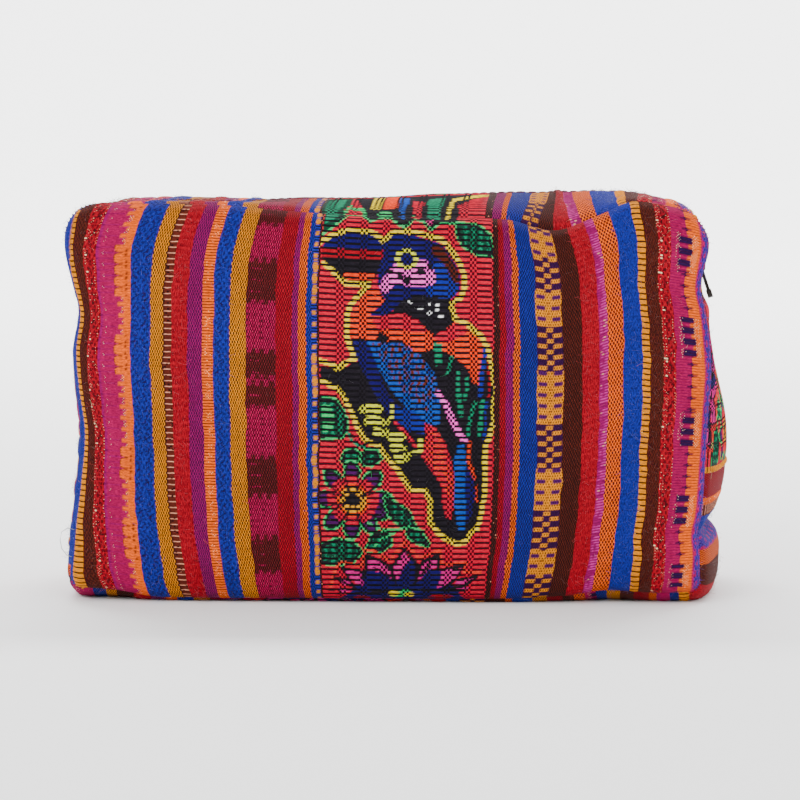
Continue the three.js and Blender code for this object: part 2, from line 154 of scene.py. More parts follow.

# How each stripe is woven. yarn is the dye of its raised yarn, and the gap colour is what shows between the
# raised stitches: the ground's dye, made darker as painted shade between the threads. across is the repeat of
# its raised stitches in millimetres (no across: bars right across the stripe), along the same in weft threads,
# cover their share, puff how far the stripe stands proud in millimetres, rib how deep its bars are, and pile
# how brushed it is.
WEAVE_COLUMNS = ("yarn", "gap", "across", "along", "cover", "puff", "rib", "pile")
WEAVES = {
    "blue_pile": ("blue", "deep_blue", 1.1, 2, 0.72, 0.35, 0.00, 0.9),
    "gold_ladder": ("gold", "bronze", 0.0, 2, 0.74, 0.45, 0.22, 0.0),
    "brown_pile": ("brown", "umber", 0.95, 2, 0.54, 0.10, 0.00, 0.6),
    "red_zigzag": ("red", "wine", 1.9, 3, 0.74, 0.45, 0.00, 0.35),
    "magenta_beads": ("magenta", "purple", 0.0, 4, 0.90, 0.20, 0.14, 0.15),
    "orange_scallop": ("orange", "rust", 0.0, 1, 0.97, 0.55, 0.00, 0.1),
    "blue_mottle": ("blue", "deep_blue", 1.9, 3, 0.76, 0.55, 0.00, 0.55),
    "blue_twill": ("blue", "deep_blue", 0.95, 2, 0.50, 0.10, 0.00, 0.1),
    "gold_twill": ("gold", "bronze", 0.95, 2, 0.54, 0.10, 0.00, 0.0),
    "brown_dashes": ("rose_white", "brown", 0.0, 2, 0.20, -0.10, 0.08, 0.0),
    "red_floss": ("red", "wine", 0.7, 5, 0.84, 0.50, 0.00, 0.75),
    "purple_dots": ("purple", "plum", 0.95, 2, 0.54, 0.00, 0.00, 0.0),
    "orange_ladder": ("orange", "rust", 0.0, 1, 0.70, 0.15, 0.06, 0.0),
    "crimson_blocks": ("crimson", "wine", 0.95, 2, 0.46, 0.00, 0.00, 0.0),
    "deep_red": ("red", "wine", 0.95, 2, 0.50, 0.05, 0.00, 0.1),
    "orange_dots": ("orange", "wine", 0.95, 2, 0.52, 0.05, 0.00, 0.0),
    "blue_narrow": ("blue", "deep_blue", 0.95, 2, 0.56, 0.00, 0.00, 0.0),
    "oval_dashes": ("blue", "black", 0.0, 1, 0.60, 0.15, 0.00, 0.0),
    "dark_line": ("brown", "black", 0.95, 2, 0.40, -0.30, 0.00, 0.0),
    "figured": ("coral", "garnet", 0.0, 2, 0.60, 0.00, 0.26, 0.0),
    "gold_blocks": ("gold", "bronze", 0.95, 2, 0.92, 0.20, 0.00, 0.0),
    "brown_dots": ("brown", "umber", 0.95, 2, 0.46, 0.05, 0.00, 0.15),
    "magenta_dashes": ("purple", "plum", 0.0, 1, 0.92, -0.10, 0.05, 0.0),
    "orange_lattice": ("orange", "wine", 1.2, 2, 0.56, 0.20, 0.00, 0.0),
    "magenta_teeth": ("magenta", "purple", 0.0, 1, 0.84, 0.15, 0.05, 0.0),
    "orange_teeth": ("orange", "rust", 0.0, 1, 0.84, 0.45, 0.05, 0.0),
    "violet_mottle": ("violet", "deep_blue", 1.3, 2, 0.70, 0.20, 0.00, 0.4),
}

# Where a figure changes along its stripe, from and to, in millimetres above the panel's middle
ZONES = {
    "beads": ((-62, -47), (-31, -18), (10.5, 26), (41, 60.5), (75, 90)),
    "brown": ((-64.5, -50.5), (-34.5, -19), (0.3, 9.3), (11.7, 21.8), (40.5, 57), (71, 80), (82, 95)),
    "gold": ((-67, -55), (-38.6, -21.5), (-3, 18.7), (36.6, 51), (65, 76)),
    "ovals": ((-65.6, -48), (-30.5, -13), (4.7, 22.2), (42.5, 58.5), (73, 84)),
    "teeth": ((-74, -64), (-48.8, -36.4), (-16.8, -2.8), (17.9, 34), (51.8, 67)),
}

# The front's stripes from the left seam to the right one, with their widths in millimetres of flat cloth
PANEL_STRIPES = [
    ("blue_pile", 2.7), ("gold_ladder", 3.0), ("brown_pile", 3.6), ("red_zigzag", 4.9),
    ("magenta_beads", 6.9), ("orange_scallop", 6.5), ("blue_mottle", 8.1), ("gold_twill", 5.2),
    ("brown_dashes", 3.3), ("red_floss", 6.4), ("purple_dots", 5.7), ("orange_ladder", 4.3),
    ("blue_mottle", 6.2), ("gold_twill", 6.2), ("crimson_blocks", 11.5), ("deep_red", 6.4),
    ("purple_dots", 2.3), ("orange_dots", 3.1), ("blue_narrow", 2.0), ("oval_dashes", 2.1),
    ("dark_line", 0.8), ("figured", 65.9), ("dark_line", 2.2), ("deep_red", 2.3), ("purple_dots", 2.9),
    ("orange_dots", 2.4), ("blue_twill", 6.4), ("gold_blocks", 9.9), ("brown_dots", 7.2),
    ("red_floss", 6.4), ("magenta_dashes", 3.3), ("orange_lattice", 5.9), ("blue_pile", 7.0),
    ("gold_ladder", 2.9), ("brown_pile", 5.0), ("red_zigzag", 4.9), ("magenta_teeth", 6.1),
    ("orange_teeth", 5.4), ("violet_mottle", 5.1),
]

# The gusset's from the left end of the zip, down the left side, along the base and up the right side
GUSSET_STRIPES = [
    ("red_floss", 6.4), ("purple_dots", 5.7), ("orange_ladder", 4.3), ("blue_twill", 6.2),
    ("gold_twill", 6.2), ("crimson_blocks", 11.5), ("deep_red", 6.4), ("magenta_beads", 6.9),
    ("orange_scallop", 6.5), ("blue_mottle", 8.1), ("gold_twill", 5.2), ("brown_dashes", 3.3),
    ("red_floss", 6.4), ("purple_dots", 5.7), ("orange_ladder", 4.3), ("blue_pile", 7.0),
    ("gold_ladder", 2.9), ("brown_pile", 6.0), ("orange_dots", 5.0), ("dark_line", 2.0),
    ("magenta_beads", 9.4), ("blue_twill", 5.0), ("gold_twill", 4.0), ("brown_dots", 6.5),
    ("red_floss", 6.4), ("purple_dots", 5.7), ("orange_ladder", 4.3), ("blue_mottle", 6.2),
    ("gold_twill", 6.2), ("crimson_blocks", 11.5), ("dark_line", 0.8), ("figured", 60.0),
    ("dark_line", 2.2), ("deep_red", 2.3), ("purple_dots", 2.9), ("orange_dots", 2.4), ("red_floss", 6.0),
    ("blue_twill", 5.0), ("gold_blocks", 9.9), ("brown_dots", 7.2), ("orange_dots", 2.6),
    ("blue_pile", 7.6), ("gold_twill", 5.3), ("deep_red", 6.0), ("brown_dots", 4.4),
    ("orange_lattice", 4.2), ("magenta_teeth", 4.2), ("blue_twill", 4.1), ("gold_twill", 5.3),
    ("brown_pile", 5.3), ("deep_red", 6.0), ("orange_dots", 3.1), ("magenta_beads", 5.3),
    ("blue_twill", 3.7), ("gold_ladder", 4.2), ("red_floss", 6.4), ("brown_pile", 8.0),
    ("orange_dots", 6.0), ("violet_mottle", 7.9), ("blue_pile", 5.4), ("brown_dashes", 4.4),
    ("orange_ladder", 2.8), ("deep_red", 9.8), ("gold_ladder", 2.4), ("figured", 65.9), ("dark_line", 3.0),
]

# A top strip's from the zip's right end, over the top to its left end
STRIP_STRIPES = [
    ("gold_twill", 6.0), ("blue_twill", 6.0), ("red_zigzag", 15.0), ("dark_line", 2.6),
    ("gold_ladder", 2.4), ("violet_mottle", 5.5), ("orange_teeth", 6.0), ("magenta_teeth", 5.1),
    ("red_zigzag", 5.7), ("brown_pile", 4.5), ("gold_ladder", 3.1), ("blue_pile", 8.3),
    ("orange_lattice", 5.7), ("magenta_dashes", 3.8), ("red_floss", 6.8), ("brown_dots", 5.7),
    ("gold_blocks", 6.4), ("blue_twill", 5.7), ("orange_dots", 1.9), ("purple_dots", 3.4),
    ("dark_line", 2.7), ("figured", 61.7), ("dark_line", 0.8), ("oval_dashes", 2.1), ("blue_narrow", 2.0),
    ("orange_dots", 3.1), ("purple_dots", 2.3), ("deep_red", 4.5), ("crimson_blocks", 9.5),
    ("gold_twill", 5.7), ("blue_mottle", 5.9), ("orange_ladder", 3.8), ("purple_dots", 4.9),
    ("red_floss", 5.7), ("brown_dashes", 3.9), ("gold_twill", 5.0), ("blue_mottle", 8.4),
    ("orange_scallop", 6.4), ("magenta_beads", 6.9), ("red_zigzag", 5.0), ("brown_pile", 6.0),
    ("gold_ladder", 4.0), ("blue_pile", 7.0), ("purple_dots", 4.0), ("orange_ladder", 6.0),
    ("red_floss", 11.7),
]

# The seams, as the CAD source draws them. waist, drop and lift are shares of the half width and the height,
# swell a share of the gusset's depth.
LEFT_SIDE = columns(("up", "waist", "swell"), [
    (0.05, 0.003, 0.03), (0.16, 0.018, 0.04), (0.28, 0.037, 0.05), (0.41, 0.052, 0.06), (0.53, 0.034, 0.05),
    (0.62, 0.026, 0.035), (0.72, 0.039, -0.01), (0.80, 0.018, -0.048), (0.88, -0.002, -0.055),
    (0.95, 0.0, -0.03),
])
RIGHT_SIDE = columns(("up", "waist", "swell"), [
    (0.04, 0.034, 0.068), (0.115, 0.036, 0.066), (0.160, 0.042, 0.010), (0.21, 0.029, 0.052),
    (0.31, 0.021, 0.078), (0.45, 0.012, 0.066), (0.59, 0.001, 0.006), (0.69, 0.010, -0.010),
    (0.745, 0.020, 0.006), (0.81, 0.034, -0.026), (0.90, 0.011, -0.052), (0.97, 0.014, -0.03),
])
TOP_EDGE = columns(("across", "drop", "swell"), [
    (-1.0, 0.009, -0.02), (-0.88, 0.007, -0.01), (-0.69, 0.004, -0.006), (-0.50, 0.008, -0.004),
    (-0.32, 0.021, 0.030), (-0.08, 0.034, 0.054), (0.16, 0.038, 0.076), (0.37, 0.044, 0.098),
    (0.515, 0.070, 0.152), (0.64, 0.036, 0.095), (0.75, 0.001, 0.020), (0.85, 0.008, -0.004),
    (1.0, 0.035, -0.02),
])
FOOT_EDGE = columns(("across", "lift", "swell"), [
    (-1.0, 0.030, 0.08), (-0.85, 0.022, 0.08), (-0.72, 0.006, 0.06), (-0.30, 0.004, 0.06),
    (0.33, 0.005, 0.06), (0.54, 0.013, 0.06), (0.68, 0.028, 0.08), (0.85, 0.022, 0.08), (1.0, 0.028, 0.08),
])

# How far the stripes lean sideways at the panel's top and foot seams, in millimetres
LEAN = columns(("across", "top", "foot"), [
    (-123.4, 0.0, 0.0), (-116.6, 5.6, 7.0), (-111.7, 7.4, 7.6), (-98.5, 8.0, 7.0), (-84.0, 8.6, 7.0),
    (-75.6, 7.6, 6.6), (-69.9, 6.8, 5.4), (-53.2, 6.4, 4.0), (-41.7, 4.5, 2.3), (-25.0, 1.5, 0.4),
    (0.0, 0.8, -1.0), (40.9, -0.9, -4.3), (48.3, -2.6, -5.8), (57.1, -3.8, -6.3), (67.0, -5.4, -6.2),
    (74.2, -6.4, -6.6), (89.8, -6.4, -5.5), (99.7, -4.4, -3.4), (110.0, -3.0, -3.4), (117.0, -2.2, -2.6),
    (123.4, 0.0, 0.0),
])
LEAN_POWER = {"top": 3.5, "foot": 3.0}
LEAN_LEVEL = 0.59


# Sizes and colours that a user would change

def length(name, description, default):
    """A size in metres."""
    return FloatProperty(name=name, description=description, default=default, unit="LENGTH")


def shown_colour(name, description, code):
    """A colour, given as an sRGB hex code."""
    return FloatVectorProperty(name=name, description=description, default=linear(code), subtype="COLOR")


class BagSizes(bpy.types.PropertyGroup):
    seam_width: length("Seam width", "Between the left and right seams of a panel", 0.2468)
    seam_height: length("Seam height", "From the ground to the top seam", 0.1536)
    gusset_depth: length("Gusset depth", "Between the front and back seams", -2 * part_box("front_panel")[1].y)
    top_radius: length("Top radius", "Of a panel's upper corners", 0.013)
    foot_radius: length("Foot radius", "Of a panel's lower corners", 0.006)
    roll_depth: length("Roll depth", "How far a panel rolls forward from its seam", 0.007)
    roll_width: length("Roll width", "How far in from the seam the roll reaches", 0.024)
    dome_depth: length("Dome depth", "Further crown of a panel's middle", 0.005)
    back_slump: FloatProperty(
        name="Back slump", description="How much lower the back's top seam lies, as a share of the height",
        default=0.014)
    back_taper: FloatProperty(
        name="Back taper", description="How far the back's upper corners are drawn in, as a share",
        default=0.016)
    plan_shift: length("Plan shift", "From the frame's middle to the middle of the seams", -0.00118)


class WeaveSizes(bpy.types.PropertyGroup):
    thread_cell: length("Thread cell", "One column of the cloth's mesh, two or three warp threads", 0.00080)
    band_cell: length("Band cell", "The same in the figured band", 0.00066)
    rib_pitch: length("Rib pitch", "Between two weft ribs of the figured band, two weft threads", 0.00222)
    rows_in_rib: IntProperty(name="Rows in a rib", description="Rows of the mesh in one weft rib", default=4)
    seam_pinch: length("Seam pinch", "How deep a seam is drawn into the cloth", 0.0010)
    seam_reach: length("Seam reach", "How far from the seam the cloth is drawn in", 0.0022)
    hem: length("Hem", "Width of the cloth's edge that is turned into a seam", 0.0022)
    waviness: length("Waviness", "How far a stripe's edge wanders sideways", 0.00035)
    dents: length("Dents", "Depth of the soft dents that the filling leaves", 0.0007)


class ZipSizes(bpy.types.PropertyGroup):
    end_drop: length("End drop", "How far the zip's ends lie below the top seam", 0.0316)
    opening: length("Opening", "Between the folded edges beside the zip", 0.010)
    tape_width: length("Tape width", "Of one tape", 0.0104)
    tape_depth: length("Tape depth", "From the cloth's face down to the tape's", 0.0023)
    coil_width: length("Coil width", "Of the closed teeth", 0.0046)
    coil_height: length("Coil height", "Of the closed teeth", 0.0022)
    coil_sink: length("Coil sink", "From the cloth's face down to the top of the teeth", 0.0006)
    coil_pitch: length("Coil pitch", "Between two turns of one coil", 0.00135)
    wire: length("Coil wire", "Diameter of the coil's filament", 0.0007)
    stitch_length: length("Stitch length", "Of the topstitching beside the zip", 0.0026)
    stitch_gap: length("Stitch gap", "Between two stitches", 0.0007)
    stitch_inset: length("Stitch inset", "From the folded edge to the stitching", 0.0022)


class ShownColours(bpy.types.PropertyGroup):
    tape: shown_colour("Tape", "Dyed polyester tape", "#1B1519")
    coil: shown_colour("Coil", "Nylon filament of the teeth", "#17131A")
    metal: shown_colour("Metal", "Gunmetal plating", "#34302E")
    thread: shown_colour("Thread", "Sewing thread", "#5A0A28")
    floor: shown_colour("Floor", "Background paper", "#FAFAFA")


def mesh_object(name, bm, *materials):
    """A finished piece at the origin."""
    mesh = bpy.data.meshes.new(name)
    bm.to_mesh(mesh)
    bm.free()
    piece = bpy.data.objects.new(name, mesh)
    bpy.context.scene.collection.objects.link(piece)
    for material in materials:
        mesh.materials.append(material)
    return piece


# Shape of the bag

def along(table, key, column, at):
    """A smooth curve through one column of a table."""
    keys, values = table[key], table[column]
    last = len(keys) - 1
    low = np.maximum(np.arange(last + 1) - 1, 0)
    high = np.minimum(np.arange(last + 1) + 1, last)
    slopes = (values[high] - values[low]) / (keys[high] - keys[low])
    place = np.clip(at, keys[0], keys[-1])
    i = np.clip(np.searchsorted(keys, place, side="left") - 1, 0, last - 1)
    span = keys[i + 1] - keys[i]
    t = (place - keys[i]) / span
    start = values[i] * (1 + 2 * t) * (1 - t) ** 2 + slopes[i] * span * t * (1 - t) ** 2
    end = values[i + 1] * t ** 2 * (3 - 2 * t) + slopes[i + 1] * span * t ** 2 * (t - 1)
    return start + end


class BagShape:
    """The seams, the panels' faces and the gusset's face, all worked out from the sizes."""

    def __init__(self, sizes, zip_sizes):
        self.sizes = sizes
        self.half_width = sizes.seam_width / 2
        self.height = sizes.seam_height
        self.half_depth = sizes.gusset_depth / 2
        foot, top = sizes.foot_radius, sizes.top_radius
        straight_foot = self.half_width - foot
        straight_top = self.half_width - top
        straight_side = self.height - foot - top
        quarter = math.pi / 2
        self.stretches = [
            (straight_foot, 0, 0, 0, -90),
            (quarter * foot, foot, straight_foot, foot, -90),
            (straight_side, 0, self.half_width, foot, 0),
            (quarter * top, top, straight_top, self.height - top, 0),
            (2 * straight_top, 0, straight_top, self.height, 90),
            (quarter * top, top, -straight_top, self.height - top, 90),
            (straight_side, 0, -self.half_width, self.height - top, 180),
            (quarter * foot, foot, -straight_foot, foot, 180),
            (straight_foot, 0, -straight_foot, 0, 270),
        ]
        self.rim_length = sum(row[0] for row in self.stretches)
        self.right_zip_end = straight_foot + quarter * foot + self.height - zip_sizes.end_drop - foot
        self.left_zip_end = self.rim_length - self.right_zip_end

    def shaped(self, x, z, back):
        """A point of the panels' rounded plan, drawn in and up as the tables say."""
        p, q = x / self.half_width, z / self.height
        side = np.where(p < 0, along(LEFT_SIDE, "up", "waist", q), along(RIGHT_SIDE, "up", "waist", q))
        waist = side + back * self.sizes.back_taper * q ** 2
        top = self.height * (1 - along(TOP_EDGE, "across", "drop", p) - back * self.sizes.back_slump)
        foot = self.height * along(FOOT_EDGE, "across", "lift", p)
        return x * (1 - waist * np.abs(p) ** 3), foot + q * (top - foot)

    def rim_plan(self, distance):
        """The rim from the middle of the foot, past the right side, the top and the left side."""
        left = np.mod(distance, self.rim_length)
        x, z, nx, nz = (np.zeros_like(left) for _ in range(4))
        start = 0
        for length, radius, x0, z0, degrees in self.stretches:
            here = (left >= start) & (left <= start + length)
            run = left[here] - start
            angle = math.radians(degrees) + (run / radius if radius else 0 * run)
            nx[here], nz[here] = np.cos(angle), np.sin(angle)
            x[here] = x0 + (radius * nx[here] if radius else -run * nz[here])
            z[here] = z0 + (radius * nz[here] if radius else run * nx[here])
            start += length
        return x, z, nx, nz

    def gusset_face(self, distance, y):
        """The gusset's outer face, at a distance along the rim and a place between the seams."""
        step = 0.5 * MM
        back = (y + self.half_depth) / (2 * self.half_depth)
        x, z, nx, nz = self.rim_plan(distance)
        here = self.shaped(x, z, back)
        ahead = self.shaped(*self.rim_plan(distance + step)[:2], back)
        behind = self.shaped(*self.rim_plan(distance - step)[:2], back)
        out_x, out_z = ahead[1] - behind[1], behind[0] - ahead[0]
        size = np.hypot(out_x, out_z)
        p, q = x / self.half_width, z / self.height
        side = np.where(x < 0, along(LEFT_SIDE, "up", "swell", q), along(RIGHT_SIDE, "up", "swell", q))
        foot, top = (along(table, "across", "swell", p) for table in (FOOT_EDGE, TOP_EDGE))
        edge = np.where(nz < 0, foot, top)
        swell = 2 * self.half_depth * (nx ** 2 * side + nz ** 2 * edge)
        bulge = swell * (1 - np.abs(y / self.half_depth) ** 2.4)
        rise = np.maximum(here[1] + out_z / size * bulge, 0)
        return np.stack([here[0] + out_x / size * bulge + self.sizes.plan_shift, y, rise], -1)

    def gusset_normal(self, distance, y):
        """The way that the gusset's face looks."""
        step = 0.5 * MM
        inner = np.clip(y, -self.half_depth + step, self.half_depth - step)
        run = self.gusset_face(distance + step, y) - self.gusset_face(distance - step, y)
        across = self.gusset_face(distance, inner + step) - self.gusset_face(distance, inner - step)
        return unit(np.cross(across, run))

    def inset(self, x, z):
        """Distance inside the rim of the plan."""
        foot, top = self.sizes.foot_radius, self.sizes.top_radius
        radius = np.where(z < self.height / 2, foot, top)
        dx = np.abs(x) - (self.half_width - radius)
        dz = np.abs(z - self.height / 2) - (self.height / 2 - radius)
        outside = np.hypot(np.maximum(dx, 0), np.maximum(dz, 0))
        return radius - outside - np.minimum(np.maximum(dx, dz), 0)

    def crown(self, x, z):
        """How far a panel stands out from its seam: a rolled edge, then a flat dome."""
        share = np.clip(self.inset(x, z) / self.sizes.roll_width, 0, 1)
        roll = self.sizes.roll_depth * np.sqrt(1 - (1 - share) ** 2)
        p, q = x / self.half_width, 2 * z / self.height - 1
        return roll + self.sizes.dome_depth * (1 - p ** 2) * (1 - q ** 2)

    def panel_face(self, x, z, back):
        """A panel's outer face over its plan. back is 0 for the front panel and 1 for the back one."""
        shaped_x, shaped_z = self.shaped(x, z, back)
        y = (2 * back - 1) * (self.half_depth + self.crown(x, z))
        return np.stack([shaped_x + self.sizes.plan_shift, y, shaped_z], -1)

    def cloth_scale(self, upright):
        """Distance over a panel's face from its middle, for places along its middle line."""
        half = self.height / 2 if upright else self.half_width
        places = half * np.sin(np.linspace(0, math.pi / 2, 4000))
        middle = np.full_like(places, self.height / 2)
        crown = self.crown(0 * places, middle + places) if upright else self.crown(places, middle)
        run = np.concatenate([[0], np.cumsum(np.hypot(np.diff(places), np.diff(crown)))])
        return run, places


def unit(vectors):
    """Vectors of length one."""
    return vectors / np.maximum(np.linalg.norm(vectors, axis=-1, keepdims=True), 1e-12)


def soft_noise(u, v, cell_u, cell_v, seed):
    """Smooth noise from -1 to 1 on a lattice of cells, the same each run."""
    size = 256
    lattice = np.random.default_rng(seed).uniform(-1, 1, (size, size))
    a, b = u / cell_u, v / cell_v
    i, j = np.floor(a).astype(int), np.floor(b).astype(int)
    s, t = a - i, b - j
    s, t = s * s * (3 - 2 * s), t * t * (3 - 2 * t)
    corner = lambda m, n: lattice[(i + m) % size, (j + n) % size]
    low = corner(0, 0) * (1 - s) + corner(1, 0) * s
    high = corner(0, 1) * (1 - s) + corner(1, 1) * s
    return low * (1 - t) + high * t


def thread_lines(stripes, cell, band_cell, total):
    """Lines between the mesh's columns, so that each stripe has whole columns, and each column's stripe."""
    widths = np.array([width for _, width in stripes]) * MM
    widths *= total / widths.sum()
    lines, owner = [0.0], []
    for k, (name, _) in enumerate(stripes):
        count = max(1, round(widths[k] / (band_cell if name == "figured" else cell)))
        start = lines[-1]
        lines += [start + widths[k] * (n + 1) / count for n in range(count)]
        owner += [k] * count
    return np.array(lines), np.array(owner), widths


# Figures of the band, charted in squares of 0.377 by 0.393 mm, counted to the right and down. What comes
# later lies over what comes before. An area has its corners, and a mix also the share of its threads that are
# dyed. A line has its width and its turns, and an oval its middle and its two radii. A streak has the level
# above which its waves are dyed, with a minus for the waves turned over. A leaf has its corners.
CHART_LEFT = 319
CHART_FOOT = 605
SQUARE_WIDTH = 0.377 * MM
SQUARE_HEIGHT = 0.393 * MM

BODY_OUTLINE = [
    (451, 302), (456, 316), (468, 322), (482, 334), (489, 348), (493, 368), (495, 385), (494, 405),
    (493, 420), (489, 434), (485, 444), (485, 495), (482, 515), (480, 527), (472, 533), (468, 541),
    (459, 543), (447, 538), (438, 531), (431, 522), (431, 498), (424, 488), (410, 488), (402, 476),
    (397, 468), (390, 461), (383, 452), (379, 443), (369, 441), (361, 432), (355, 423), (351, 409),
    (344, 398), (338, 389), (320, 381),
]
HEAD_OUTLINE = [
    (319, 244), (325, 240), (337, 234), (347, 231), (366, 231), (375, 234), (382, 240), (389, 233),
    (399, 229), (412, 231), (427, 234), (443, 239), (449, 246), (455, 254), (460, 262), (464, 272),
    (465, 284), (461, 295), (451, 302),
]
BACK_OUTLINE = [
    (322, 265), (330, 270), (337, 277), (345, 283), (369, 283), (362, 290), (355, 297), (350, 304),
    (347, 315), (346, 335), (350, 348), (354, 357), (345, 362), (338, 368), (329, 363), (319, 361),
]
